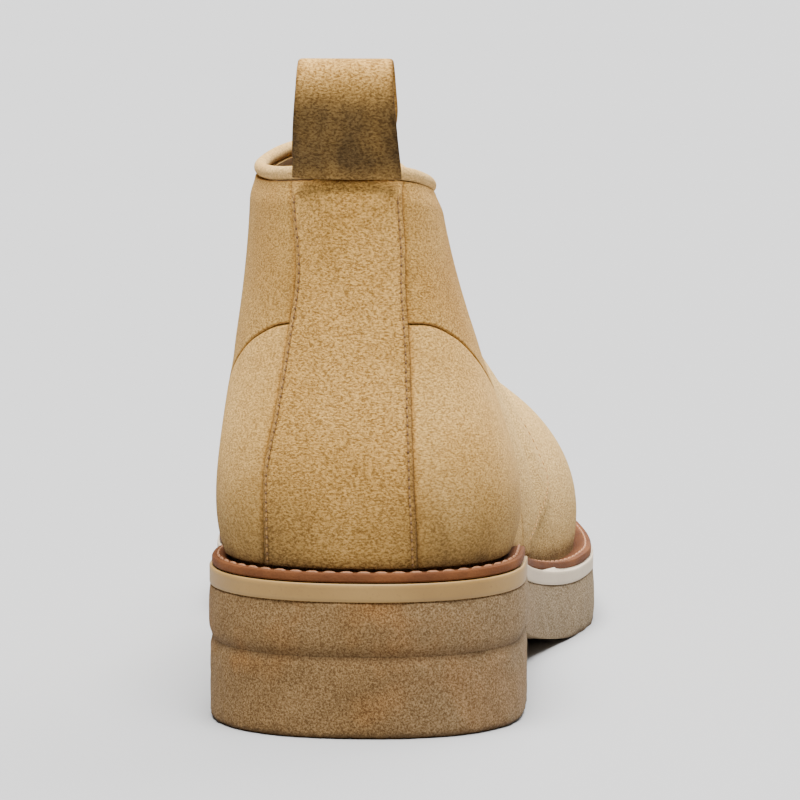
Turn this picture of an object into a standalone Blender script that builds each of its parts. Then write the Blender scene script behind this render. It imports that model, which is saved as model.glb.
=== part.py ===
"""Chukka boot for the right foot, built as its maker builds it.

A crepe heel and runner, a cream midsole and a brown welt carry a hollow suede upper. Panels, a collar rim,
a tongue, eyelets, lace bars and a pull loop lie on the upper. Metres, +Z up, toe towards +Y and the outer
side of the foot towards +X. The origin is on the floor under the middle of the heel.
"""

import math
from collections import namedtuple

import bmesh
import bpy
from mathutils import Vector

# Sole sizes
SOLE_LENGTH = 0.302
HEEL_BACK = 0.038
BALL_WIDTH = 0.1055
WAIST_WIDTH = 0.067
HEEL_WIDTH = 0.078
HEEL_HEIGHT = 0.0198
HEEL_LENGTH = 0.074
RUNNER_THICKNESS = 0.0132
FOREPART_THICKNESS = 0.0146
MIDSOLE_THICKNESS = 0.0042
MIDSOLE_FOREPART = 0.0034
WELT_THICKNESS = 0.0022
INSOLE_THICKNESS = 0.0025
TOE_SPRING = 0.008
WELT_MARGIN = 0.0055
WELT_SETBACK = 0.0006
SOLE_LIP = 0.0007
MIDSOLE_LIP = 0.0005

# Where the arch comes down to the floor and where the toe leaves it, as shares of the sole's length
ARCH_START = 0.13
ARCH_END = 0.56
SPRING_START = 0.72
SPRING_ROUNDNESS = 1.8

# Upper sizes
COLLAR_HEIGHT = 0.134
COLLAR_WIDTH = 0.0445
INSTEP_HEIGHT = 0.095
BALL_HEIGHT = 0.073
TOE_HEIGHT = 0.055
LATERAL_DIP = 0.006
WALL = 0.0016
PANEL = 0.0010
BACKSTAY_THICKNESS = 0.0015
BACKSTAY_WIDTH = 0.0250
RIM_WIDTH = 0.0034
COLLAR_ROLL = 0.0012

# Small pieces
LOOP_WIDTH = 0.0250
LOOP_HEIGHT = 0.0290
LOOP_THICKNESS = 0.0016
LOOP_SHIFT = -0.0022
TONGUE_THICKNESS = 0.0024
TONGUE_RISE = 0.012
EYELET_PAIRS = 3
EYELET_OUTER = 0.0084
EYELET_HOLE = 0.0044
EYELET_THICKNESS = 0.0008
EYELET_BORE = 0.0128
LACE_DIAMETER = 0.0028

# Shares of the upper's sections: where a panel starts above the welt, how far in the eyelets and the
# tongue's edges lie from the throat, and the stretch of welt line over which each of them runs
PANEL_START = 0.02
EYELET_SHARE = 0.085
EYELET_FIRST = 0.418
EYELET_LAST = 0.484
TONGUE_OVERLAP = 0.15
TONGUE_TOP = 0.395
TONGUE_ROOT = 0.540

# Fits and mesh fineness
GAP = 0.0003
SEAM_GAP = 0.0004
RIM_CLEARANCE = 0.0006
TONGUE_CLEARANCE = 0.0016
EYELET_CLEARANCE = 0.0006
LACE_CLEARANCE = 0.0006
LACE_EDGE_CLEARANCE = 0.0012
OUTLINE_STEPS = 28
RIB_STEPS = 11
EDGE_STEPS = 18
TONGUE_STEPS = 8
LOOP_COLUMNS = 6
RIB_PROBE = 0.018
COLLAR_PROBE = 0.004
MERGE_DISTANCE = 0.00001
SHARP_ANGLE = 35

MEDIAL = -1
LATERAL = 1

# Widest and narrowest places of the sole's edge. Places are shares of the sole's length from its back,
# and widths are shares of the named width.
Extreme = namedtuple("Extreme", "width medial_place medial_share lateral_place lateral_share")
OUTLINE = (
    Extreme(HEEL_WIDTH, 0.13, 0.500, 0.13, 0.500),
    Extreme(WAIST_WIDTH, 0.42, 0.455, 0.35, 0.545),
    Extreme(BALL_WIDTH, 0.70, 0.515, 0.63, 0.480),
)
TOE_ROUNDNESS = 2.45
HEEL_ROUNDNESS = 2.3
TIP_SHIFT = -0.07
TIP_SHIFT_START = 0.6
END_PLACE = 0.13
END_TURN = 0.178

# Sections of the upper, from the heel to the toe. foot is the share of the welt line at which a section
# starts, top the place of its upper end as a share of the sole's length, height the height of that end as a
# share of the named height, ridge the sideways place of the middle as a share of the ball's width, and half
# the half-width of the opening there as a share of the collar's width.
Section = namedtuple("Section", "foot top height_of height ridge half")
SECTIONS = (
    Section(0.000, 0.038, COLLAR_HEIGHT, 1.000, -0.009, 0.50),
    Section(0.100, 0.115, COLLAR_HEIGHT, 0.986, -0.042, 0.50),
    Section(0.200, 0.209, COLLAR_HEIGHT, 0.982, -0.072, 0.50),
    Section(0.310, 0.315, COLLAR_HEIGHT, 0.992, -0.098, 0.40),
    Section(0.385, 0.384, COLLAR_HEIGHT, 1.000, -0.108, 0.24),
    Section(0.450, 0.445, COLLAR_HEIGHT, 0.870, -0.112, 0.21),
    Section(0.530, 0.517, INSTEP_HEIGHT, 1.000, -0.114, 0.18),
    Section(0.690, 0.656, BALL_HEIGHT, 1.000, -0.095, 0.00),
    Section(0.850, 0.805, TOE_HEIGHT, 1.090, -0.075, 0.00),
    Section(1.000, 0.894, TOE_HEIGHT, 1.000, -0.068, 0.00),
)

# How round the collar's back is, how short the round end of the throat is, and where along the welt line the
# lateral dip of the collar begins to fade and has gone
COLLAR_ROUNDNESS = 2.2
THROAT_ROUND = 0.035
DIP_FULL = 0.28
DIP_FADES = 0.32
DIP_GONE = 0.45

# How each section swells. medial_swell and lateral_swell push the lower part out, as shares of the heel's
# width. belly is the share of the section's rise at which they do. shoulder is how far the upper part
# stands out of the top end, as a share of the way to the foot, and drop is how far below the top.
Swell = namedtuple("Swell", "foot medial_swell lateral_swell belly shoulder drop")
SWELLS = (
    Swell(0.000, 0.094, 0.094, 0.22, 0.20, 0.45),
    Swell(0.100, 0.104, 0.119, 0.21, 0.31, 0.48),
    Swell(0.200, 0.134, 0.124, 0.21, 0.36, 0.48),
    Swell(0.385, 0.144, 0.064, 0.28, 0.38, 0.36),
    Swell(0.530, 0.114, 0.059, 0.43, 0.37, 0.10),
    Swell(0.690, 0.099, 0.083, 0.54, 0.60, 0.00),
    Swell(0.850, 0.094, 0.079, 0.64, 0.56, 0.00),
    Swell(1.000, 0.089, 0.089, 0.78, 0.50, 0.00),
)

# Top edge of the counter, seen from the side: places as shares of the sole's length, heights of the collar's.
EdgePoint = namedtuple("EdgePoint", "place height")
COUNTER_EDGE = (
    EdgePoint(-0.040, 0.752),
    EdgePoint(0.045, 0.738),
    EdgePoint(0.075, 0.708),
    EdgePoint(0.110, 0.660),
    EdgePoint(0.150, 0.615),
    EdgePoint(0.200, 0.570),
    EdgePoint(0.260, 0.520),
    EdgePoint(0.320, 0.455),
    EdgePoint(0.380, 0.350),
    EdgePoint(0.430, 0.100),
)
# Front edge of the quarters, from the welt up to the throat.
QUARTER_EDGE = (
    EdgePoint(0.437, 0.100),
    EdgePoint(0.442, 0.215),
    EdgePoint(0.462, 0.240),
    EdgePoint(0.500, 0.275),
    EdgePoint(0.536, 0.325),
    EdgePoint(0.551, 0.400),
    EdgePoint(0.557, 0.480),
    EdgePoint(0.548, 0.590),
    EdgePoint(0.518, 0.680),
    EdgePoint(0.482, 0.760),
)

# The strip up the back, seen from behind: heights of the collar's, middles of the heel's width.
StripRow = namedtuple("StripRow", "height width_share middle")
BACKSTAY = (
    StripRow(0.20, 1.46, -0.050),
    StripRow(0.37, 1.45, -0.053),
    StripRow(0.46, 1.43, -0.058),
    StripRow(0.58, 1.29, -0.045),
    StripRow(0.70, 1.15, -0.034),
    StripRow(0.84, 1.00, -0.028),
    StripRow(0.98, 1.01, -0.044),
    StripRow(1.10, 1.01, -0.044),
)

# The pull loop from its outer foot over the top to its tucked end: heights above the collar as shares of
# the loop's, out of the collar's edge in strap thicknesses, and width as a share of the strap's.
LoopRow = namedtuple("LoopRow", "height out width")
LOOP_PATH = (
    LoopRow(0.015, 1.90, 1.05),
    LoopRow(0.14, 2.10, 1.04),
    LoopRow(0.32, 2.95, 1.02),
    LoopRow(0.55, 3.80, 0.98),
    LoopRow(0.76, 3.95, 0.94),
    LoopRow(0.90, 3.30, 0.92),
    LoopRow(0.972, 1.80, 0.91),
    LoopRow(0.972, 0.20, 0.91),
    LoopRow(0.90, -1.10, 0.92),
    LoopRow(0.76, -1.90, 0.94),
    LoopRow(0.50, -2.35, 0.98),
    LoopRow(0.20, -2.40, 1.00),
    LoopRow(-0.15, -2.35, 1.00),
    LoopRow(-0.50, -2.20, 1.00),
)
# Height, as a share of the loop's, at which the strap no longer follows the collar's curve
LOOP_STRAIGHT = 0.6

# How far past the eyelet a lace bar stays high, in eyelet widths, and the share of its height that it keeps
# over the facing's edge
LACE_RUN = 0.6
LACE_DROP = 0.6

COLOURS = {
    "suede": (0.56, 0.38, 0.20, 1.0),
    "rim": (0.68, 0.54, 0.36, 1.0),
    "crepe": (0.36, 0.23, 0.12, 1.0),
    "cream": (0.62, 0.48, 0.30, 1.0),
    "welt": (0.33, 0.12, 0.05, 1.0),
    "lining": (0.24, 0.17, 0.11, 1.0),
    "eyelet": (0.30, 0.20, 0.10, 1.0),
    "lace": (0.42, 0.27, 0.14, 1.0),
}


def place_to_y(share):
    """The y of a place given as a share of the sole's length from its back."""
    return share * SOLE_LENGTH - HEEL_BACK


def smooth(share):
    """A soft step from 0 to 1."""
    share = min(max(share, 0.0), 1.0)
    return share * share * (3.0 - 2.0 * share)


def read_rows(rows, key, column, at):
    """Reads a column of a table at a place between rows, on a curve that never overshoots them."""
    xs = [getattr(row, key) for row in rows]
    ys = [column(row) for row in rows]
    at = min(max(at, xs[0]), xs[-1])
    slopes = [(ys[i + 1] - ys[i]) / (xs[i + 1] - xs[i]) for i in range(len(xs) - 1)]
    i = 0
    while at > xs[i + 1]:
        i += 1
    ends = []
    for j in (i, i + 1):
        before = slopes[max(j - 1, 0)]
        after = slopes[min(j, len(slopes) - 1)]
        ends.append(2 * before * after / (before + after) if before * after > 0 else 0.0)
    step = xs[i + 1] - xs[i]
    s = (at - xs[i]) / step
    rise = smooth(s)
    bend = ends[0] * s * (1 - s) ** 2 - ends[1] * s * s * (1 - s)
    return ys[i] + (ys[i + 1] - ys[i]) * rise + bend * step


def half_width(y, side):
    """Half-width of the sole's edge at y on one side."""
    turns = [
        (place_to_y(row.medial_place if side == MEDIAL else row.lateral_place),
         row.width * (row.medial_share if side == MEDIAL else row.lateral_share))
        for row in OUTLINE
    ]
    first_y, first_half = turns[0]
    last_y, last_half = turns[-1]
    if y < first_y:
        share = (first_y - y) / (first_y - place_to_y(0.0))
        return first_half * max(1.0 - share ** HEEL_ROUNDNESS, 0.0) ** (1.0 / HEEL_ROUNDNESS)
    if y > last_y:
        share = (y - last_y) / (place_to_y(1.0) - last_y)
        return last_half * max(1.0 - share ** TOE_ROUNDNESS, 0.0) ** (1.0 / TOE_ROUNDNESS)
    for (near_y, near_half), (far_y, far_half) in zip(turns, turns[1:]):
        if y <= far_y:
            return near_half + (far_half - near_half) * smooth((y - near_y) / (far_y - near_y))
    return last_half


def turn_to_place(turn):
    """Spaces the points along the sole: evenly in the middle, and closer round the back and the toe."""
    if turn > 0.5:
        return 1.0 - turn_to_place(1.0 - turn)
    if turn < END_TURN:
        return END_PLACE * (1.0 - math.cos(math.pi / 2 * turn / END_TURN))
    return END_PLACE + (0.5 - END_PLACE) * (turn - END_TURN) / (0.5 - END_TURN)


def edge_point(turn, side):
    """A point of the sole's edge. turn runs from 0 at the back to 1 at the toe."""
    y = place_to_y(turn_to_place(turn))
    start = place_to_y(TIP_SHIFT_START)
    shift = TIP_SHIFT * BALL_WIDTH * smooth((y - start) / (place_to_y(1.0) - start))
    return Vector((side * half_width(y, side) + shift, y))


def edge_loop(inset, last_turn=1.0, steps=OUTLINE_STEPS):
    """The sole's edge as a loop, moved in by inset: the lateral side from the back, then the medial side."""
    out = [edge_point(last_turn * i / steps, LATERAL) for i in range(steps + 1)]
    home = [edge_point(last_turn * i / steps, MEDIAL) for i in range(steps, 0, -1)]
    if last_turn == 1.0:
        home = home[1:]
    loop = out + home
    moved = []
    for i, point in enumerate(loop):
        along = loop[(i + 1) % len(loop)] - loop[i - 1]
        moved.append(point + Vector((-along.y, along.x)).normalized() * inset)
    return moved


def tread_height(y):
    """Height of the runner's underside: up on the heel, down the arch, flat at the ball, up at the toe."""
    arch_start = place_to_y(ARCH_START)
    arch_end = place_to_y(ARCH_END)
    spring_start = place_to_y(SPRING_START)
    tip = place_to_y(1.0)
    if y < arch_end:
        return (HEEL_HEIGHT + GAP) * (1.0 - smooth((y - arch_start) / (arch_end - arch_start)))
    return TOE_SPRING * max((y - spring_start) / (tip - spring_start), 0.0) ** SPRING_ROUNDNESS


def forward(y):
    """From 0 at the heel to 1 at the ball, for the layers whose thickness changes."""
    return smooth((y - place_to_y(END_PLACE)) / (place_to_y(ARCH_END) - place_to_y(END_PLACE)))


def runner_top(y):
    """Height of the runner's upper side. The forepart is a little thicker than the heel seat."""
    return tread_height(y) + RUNNER_THICKNESS + (FOREPART_THICKNESS - RUNNER_THICKNESS) * forward(y)


def midsole_top(y):
    """Height of the midsole's upper side, which thins towards the forepart."""
    return runner_top(y) + GAP + MIDSOLE_THICKNESS + (MIDSOLE_FOREPART - MIDSOLE_THICKNESS) * forward(y)


def new_object(name, mesh, colour, roughness=0.85, metallic=0.0):
    """Makes an object with its own material and puts it in the boot's collection."""
    material = bpy.data.materials.new(name)
    material.use_nodes = True
    shader = material.node_tree.nodes["Principled BSDF"]
    shader.inputs["Base Color"].default_value = COLOURS[colour]
    shader.inputs["Roughness"].default_value = roughness
    shader.inputs["Metallic"].default_value = metallic
    mesh.materials.clear()
    mesh.materials.append(material)
    result = bpy.data.objects.new(name, mesh)
    BOOT.objects.link(result)
    return result


def mesh_from(points, faces, name):
    """A mesh from points and faces, with doubled points joined and faces turned outwards."""
    made = bmesh.new()
    corners = [made.verts.new(point) for point in points]
    for face in faces:
        unique = list(dict.fromkeys(face))
        if len(unique) > 2:
            made.faces.new([corners[i] for i in unique])
    bmesh.ops.remove_doubles(made, verts=made.verts, dist=MERGE_DISTANCE)
    bmesh.ops.recalc_face_normals(made, faces=made.faces)
    mesh = bpy.data.meshes.new(name)
    made.to_mesh(mesh)
    made.free()
    mesh.shade_smooth()
    mesh.set_sharp_from_angle(angle=math.radians(SHARP_ANGLE))
    return mesh


def slab(name, loops, colour):
    """A solid from loops of points, lowest first, closed by strips from one side of the foot to the other."""
    size = len(loops[0])
    faces = []
    for level in range(len(loops) - 1):
        low = level * size
        high = low + size
        faces += [(low + i, low + (i + 1) % size, high + (i + 1) % size, high + i) for i in range(size)]
    for low in (0, (len(loops) - 1) * size):
        for i in range(size // 2):
            faces.append((low + i, low + i + 1, low + size - i - 1, low + (size - i) % size))
    points = [point for loop in loops for point in loop]
    return new_object(name, mesh_from(points, faces, name), colour)


def level_loop(loop, height, lift=0.0):
    """A flat loop raised to a height that follows y."""
    return [Vector((point.x, point.y, height(point.y) + lift)) for point in loop]


def layer(name, bottom, top, inset, lip, colour, last_turn=1.0):
    """A layer of the sole between two heights, with its top and bottom corners broken by lip."""
    side = edge_loop(inset, last_turn)
    broken = edge_loop(inset + lip, last_turn)
    loops = (
        level_loop(broken, bottom),
        level_loop(side, bottom, lip),
        level_loop(side, top, -lip),
        level_loop(broken, top),
    )
    return slab(name, loops, colour)


def make_sole():
    """Heel block, runner, midsole, welt and insole, each a gap above the one below."""
    breast_place = HEEL_LENGTH / SOLE_LENGTH
    breast_turn = END_TURN + (0.5 - END_TURN) * (breast_place - END_PLACE) / (0.5 - END_PLACE)
    layer("heel", lambda y: 0.0, lambda y: tread_height(y) - GAP, 0.0, SOLE_LIP, "crepe", breast_turn)
    layer("outsole", tread_height, runner_top, 0.0, SOLE_LIP, "crepe")
    layer("midsole", lambda y: runner_top(y) + GAP, midsole_top, 0.0, MIDSOLE_LIP, "cream")

    outer = edge_loop(WELT_SETBACK)
    inner = edge_loop(WELT_MARGIN - GAP)
    low = GAP
    high = GAP + WELT_THICKNESS
    rings = [level_loop(loop, midsole_top, lift) for loop, lift in
             ((outer, low), (outer, high), (inner, high), (inner, low))]
    size = len(outer)
    faces = []
    for level in range(4):
        here = level * size
        there = (level + 1) % 4 * size
        faces += [(here + i, here + (i + 1) % size, there + (i + 1) % size, there + i) for i in range(size)]
    new_object("welt", mesh_from([p for ring in rings for p in ring], faces, "welt"), "welt", 0.6)

    board = edge_loop(WELT_MARGIN + WALL + 3 * GAP)
    loops = (level_loop(board, midsole_top, GAP), level_loop(board, midsole_top, GAP + INSOLE_THICKNESS))
    slab("insole", loops, "lining")


def top_point(foot, side):
    """The upper end of a section: on the collar, then on the throat's edge, then on the ridge of the vamp."""
    y = place_to_y(read_rows(SECTIONS, "foot", lambda row: row.top, foot))
    height = read_rows(SECTIONS, "foot", lambda row: row.height * row.height_of, foot)
    ridge = BALL_WIDTH * read_rows(SECTIONS, "foot", lambda row: row.ridge, foot)
    half = COLLAR_WIDTH * read_rows(SECTIONS, "foot", lambda row: row.half, foot)
    round_end = SECTIONS[2].foot
    if foot < round_end:
        share = 1.0 - foot / round_end
        half = COLLAR_WIDTH / 2 * max(1.0 - share ** COLLAR_ROUNDNESS, 0.0) ** (1.0 / COLLAR_ROUNDNESS)
    throat_end = SECTIONS[6].foot
    if foot > throat_end - THROAT_ROUND:
        share = min((foot - throat_end + THROAT_ROUND) / THROAT_ROUND, 1.0)
        half *= math.sqrt(max(1.0 - share * share, 0.0))
    if side == LATERAL:
        left = 1.0 - smooth((foot - DIP_FADES) / (DIP_GONE - DIP_FADES))
        height -= LATERAL_DIP * smooth(foot / DIP_FULL) * left
    return Vector((ridge + side * half, y, height))


def foot_share(index, welt_line):
    """How far along the welt line a point lies, from 0 at the back to 1 at the toe, alike on both sides."""
    size = len(welt_line)
    back = welt_line[0].y
    middle = (welt_line[index % size].y + welt_line[-index % size].y) / 2
    return (middle - back) / (welt_line[size // 2].y - back)


def rib(index, welt_line):
    """The Bezier ends and handles of one section, whose foot is a point of the welt line."""
    size = len(welt_line)
    side = LATERAL if index <= size // 2 else MEDIAL
    here = welt_line[index]
    along = welt_line[(index + 1) % size] - welt_line[index - 1]
    outward = Vector((along.y, -along.x, 0.0)).normalized()
    foot = foot_share(index, welt_line)
    start = Vector((here.x, here.y, midsole_top(here.y) + 2 * GAP + WELT_THICKNESS))
    end = top_point(foot, side)
    rise = end.z - start.z
    swell = read_rows(SWELLS, "foot", lambda row: row.medial_swell if side == MEDIAL else row.lateral_swell, foot)
    belly = read_rows(SWELLS, "foot", lambda row: row.belly, foot)
    shoulder = read_rows(SWELLS, "foot", lambda row: row.shoulder, foot)
    drop = read_rows(SWELLS, "foot", lambda row: row.drop, foot)
    across = Vector((start.x - end.x, start.y - end.y, 0.0))
    low = start + outward * swell * HEEL_WIDTH + Vector((0.0, 0.0, belly * rise))
    high = end + across * shoulder - Vector((0.0, 0.0, drop * rise))
    return start, low, high, end


def rib_point(handles, share):
    """A point of a section: 0 at the welt, 1 at its upper end."""
    start, low, high, end = handles
    rest = 1.0 - share
    return rest ** 3 * start + 3 * rest * rest * share * low + 3 * rest * share * share * high + share ** 3 * end


def collar_roll(index, welt_line):
    """How far the collar's edge turns in at a section: all of it round the back, none at the throat."""
    size = len(welt_line)
    foot = foot_share(index, welt_line)
    along = rib((index + 1) % size, welt_line)[3] - rib((index - 1) % size, welt_line)[3]
    inward = Vector((-along.y, along.x, 0.0)).normalized()
    fading = smooth((SECTIONS[4].foot - foot) / (SECTIONS[4].foot - SECTIONS[3].foot))
    return inward * COLLAR_ROLL * fading


def upper_sheet(name, lift=0.0, start=0.0):
    """The upper's outer surface as an open sheet, moved out by lift. A start over 0 leaves out its foot."""
    welt_line = edge_loop(WELT_MARGIN)
    size = len(welt_line)
    points = []
    for index in range(size):
        handles = rib(index, welt_line)
        if not start:
            points.append(handles[0] - Vector((0.0, 0.0, WELT_THICKNESS + GAP)))
        shares = [start] + [step / RIB_STEPS for step in range(1, RIB_STEPS + 1)]
        points += [rib_point(handles, share) for share in shares]
        points[-1] += collar_roll(index, welt_line)
    high = len(points) // size
    faces = []
    for index in range(size):
        here = index * high
        there = (index + 1) % size * high
        for k in range(high - 1):
            faces.append((here + k, there + k, there + k + 1))
            faces.append((here + k, there + k + 1, here + k + 1))
    mesh = mesh_from(points, faces, name)
    for vertex, normal in zip(mesh.vertices, [v.normal.copy() for v in mesh.vertices]):
        vertex.co += normal * lift
    return mesh


def solidify(thing, thickness, outwards, even=True):
    """Gives a sheet its thickness. Even keeps it the same round corners, which a sharp turn can't take."""
    shell = thing.modifiers.new("wall", "SOLIDIFY")
    shell.thickness = thickness
    shell.offset = 1.0 if outwards else -1.0
    shell.use_even_offset = even
    return shell


def rib_at(foot, side, welt_line):
    """The section at any share of the welt line, read between its two neighbours."""
    size = len(welt_line)
    number = 0
    while foot_share(number + 1, welt_line) < foot:
        number += 1
    near_foot = foot_share(number, welt_line)
    share = (foot - near_foot) / (foot_share(number + 1, welt_line) - near_foot)
    near = rib(side * number % size, welt_line)
    far = rib(side * (number + 1) % size, welt_line)
    return [a.lerp(b, share) for a, b in zip(near, far)]


def upper_spot(foot, share, side, welt_line):
    """A point of the upper's surface and the direction out of it."""
    lower = share - RIB_PROBE
    here = rib_point(rib_at(foot, side, welt_line), share)
    ahead = rib_point(rib_at(foot + RIB_PROBE, side, welt_line), lower)
    along = ahead - rib_point(rib_at(foot - RIB_PROBE, side, welt_line), lower)
    up = here - rib_point(rib_at(foot, side, welt_line), lower - RIB_PROBE)
    return here, along.cross(up).normalized() * side


def prism(name, outline, axis, low, high):
    """A cutter: an outline in the plane across an axis, drawn out from low to high."""
    def corner(point, depth):
        return Vector((depth, point[0], point[1])) if axis == "x" else Vector((point[0], depth, point[1]))

    count = len(outline)
    points = [corner(point, depth) for depth in (low, high) for point in outline]
    faces = [tuple(range(count)), tuple(range(2 * count - 1, count - 1, -1))]
    faces += [(i, (i + 1) % count, count + (i + 1) % count, count + i) for i in range(count)]
    cutter = bpy.data.objects.new(name, mesh_from(points, faces, name))
    return hide_cutter(cutter)


def hide_cutter(cutter):
    CUTTERS.objects.link(cutter)
    cutter.hide_render = True
    cutter.display_type = "WIRE"
    return cutter


def cut(thing, cutter, operation):
    boolean = thing.modifiers.new(cutter.name, "BOOLEAN")
    boolean.operation = operation
    boolean.solver = "EXACT"
    boolean.object = cutter


def edge_samples(rows, lift=0.0):
    """Points along a panel's edge in the side view, lifted by a seam's width."""
    first = rows[0].place
    last = rows[-1].place
    samples = []
    for i in range(EDGE_STEPS + 1):
        place = first + (last - first) * i / EDGE_STEPS
        height = COLLAR_HEIGHT * read_rows(rows, "place", lambda row: row.height, place)
        samples.append((place_to_y(place), height + lift))
    return samples


def quarter_front():
    """The quarter's front edge, which bends back at the top, as points from the welt up to the throat."""
    low = QUARTER_EDGE[0].height
    high = QUARTER_EDGE[-1].height
    points = []
    for i in range(EDGE_STEPS + 1):
        height = low + (high - low) * i / EDGE_STEPS
        place = read_rows(QUARTER_EDGE, "height", lambda row: row.place, height)
        points.append((place_to_y(place), COLLAR_HEIGHT * height))
    return points


def backstay_outline(spare):
    """The strip up the back in the view from behind, wider by spare on each side."""
    left = []
    right = []
    for i in range(EDGE_STEPS + 1):
        height = BACKSTAY[0].height + (BACKSTAY[-1].height - BACKSTAY[0].height) * i / EDGE_STEPS
        middle = HEEL_WIDTH * read_rows(BACKSTAY, "height", lambda row: row.middle, height)
        half = BACKSTAY_WIDTH / 2 * read_rows(BACKSTAY, "height", lambda row: row.width_share, height) + spare
        left.append((middle - half, height * COLLAR_HEIGHT))
        right.append((middle + half, height * COLLAR_HEIGHT))
    return right + left[::-1]


def panel(name, thickness):
    """A layer that lies on the whole upper, to be cut to the shape of one panel."""
    sheet = new_object(name, upper_sheet(name, GAP, PANEL_START), "suede", 0.95)
    solidify(sheet, thickness, True, even=False)
    return sheet


def make_panels():
    """Backstay, counter halves and quarters, all cut from a layer over the upper."""
    far = BALL_WIDTH
    behind = -2 * HEEL_BACK
    strip = prism("backstay_cutter", backstay_outline(0.0), "y", behind, 0.0)
    strip_room = prism("backstay_room", backstay_outline(SEAM_GAP), "y", behind, 0.0)
    cut(panel("backstay", BACKSTAY_THICKNESS), strip, "INTERSECT")

    low_edge = edge_samples(COUNTER_EDGE)
    counter_outline = low_edge + [(low_edge[-1][0], 0.0), (low_edge[0][0], 0.0)]
    high_edge = edge_samples(COUNTER_EDGE, SEAM_GAP)
    front = quarter_front()
    top = 2 * COLLAR_HEIGHT
    toe_side = [(high_edge[-1][0] + 2 * SEAM_GAP, high_edge[-1][1])]
    quarter_outline = high_edge + toe_side + front + [(front[-1][0], top), (high_edge[0][0], top)]
    for word, side in (("medial", MEDIAL), ("lateral", LATERAL)):
        reach = (0.0, side * far)
        counter_cutter = prism("counter_cutter_" + word, counter_outline, "x", min(reach), max(reach))
        counter = panel("counter_" + word, PANEL)
        cut(counter, counter_cutter, "INTERSECT")
        cut(counter, strip_room, "DIFFERENCE")
        quarter_cutter = prism("quarter_cutter_" + word, quarter_outline, "x", -far, far)
        quarter = panel("quarter_" + word, PANEL)
        cut(quarter, quarter_cutter, "INTERSECT")
        cut(quarter, strip_room, "DIFFERENCE")
        cut(quarter, half_space(side), "INTERSECT")
        cut(quarter, eyelet_holes(side), "DIFFERENCE")


def half_space(side):
    """A block over one half of the boot, on one side of the line along its ridge and its throat."""
    line = [(row.ridge * BALL_WIDTH, place_to_y(row.top)) for row in SECTIONS]
    far = side * BALL_WIDTH
    behind = -2 * HEEL_BACK
    outline = [(line[0][0], behind)] + line + [(far, line[-1][1]), (far, behind)]
    count = len(outline)
    points = [Vector((x, y, z)) for z in (0.0, 2 * COLLAR_HEIGHT) for x, y in outline]
    faces = [tuple(range(count)), tuple(range(2 * count - 1, count - 1, -1))]
    faces += [(i, (i + 1) % count, count + (i + 1) % count, count + i) for i in range(count)]
    name = "half_medial" if side == MEDIAL else "half_lateral"
    return hide_cutter(bpy.data.objects.new(name, mesh_from(points, faces, name)))


def eyelet_spots(side):
    """Place and outward direction of each eyelet on one facing."""
    welt_line = edge_loop(WELT_MARGIN)
    spots = []
    for number in range(EYELET_PAIRS):
        foot = EYELET_FIRST + (EYELET_LAST - EYELET_FIRST) * number / (EYELET_PAIRS - 1)
        spots.append(upper_spot(foot, 1.0 - EYELET_SHARE, side, welt_line))
    return spots


def eyelet_holes(side):
    """A cutter of one round bar through each eyelet's place."""
    made = bmesh.new()
    for spot, outward in eyelet_spots(side):
        turn = outward.to_track_quat("Z", "Y").to_matrix().to_4x4()
        turn.translation = spot
        bmesh.ops.create_cone(
            made, cap_ends=True, segments=12, radius1=EYELET_HOLE / 2, radius2=EYELET_HOLE / 2,
            depth=EYELET_BORE, matrix=turn,
        )
    name = "eyelet_holes_medial" if side == MEDIAL else "eyelet_holes_lateral"
    mesh = bpy.data.meshes.new(name)
    made.to_mesh(mesh)
    made.free()
    return hide_cutter(bpy.data.objects.new(name, mesh))


def make_eyelets():
    """Flat rings round the holes, lying on the facings."""
    middle = (EYELET_OUTER + EYELET_HOLE) / 4
    band = (EYELET_OUTER - EYELET_HOLE) / 4
    lift = GAP + PANEL + EYELET_CLEARANCE + EYELET_THICKNESS / 2
    for word, side in (("medial", MEDIAL), ("lateral", LATERAL)):
        for number, (spot, outward) in enumerate(eyelet_spots(side), start=1):
            bpy.ops.mesh.primitive_torus_add(
                major_radius=middle, minor_radius=band, major_segments=14, minor_segments=6,
            )
            ring = bpy.context.object
            mesh = ring.data
            bpy.data.objects.remove(ring)
            for vertex in mesh.vertices:
                vertex.co.z *= EYELET_THICKNESS / (2 * band)
            placed = new_object(f"eyelet_{word}_{number}", mesh, "eyelet", 0.45, 0.8)
            placed.location = spot + outward * lift
            placed.rotation_euler = outward.to_track_quat("Z", "Y").to_euler()


def tube(name, points, diameter, colour, roughness=0.9):
    """A round bar along a polyline."""
    curve = bpy.data.curves.new(name, "CURVE")
    curve.dimensions = "3D"
    curve.bevel_depth = diameter / 2
    curve.bevel_resolution = 2
    curve.use_fill_caps = True
    line = curve.splines.new("POLY")
    line.points.add(len(points) - 1)
    for spot, point in zip(line.points, points):
        spot.co = (*point, 1.0)
    return new_object(name, curve, colour, roughness)


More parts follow.
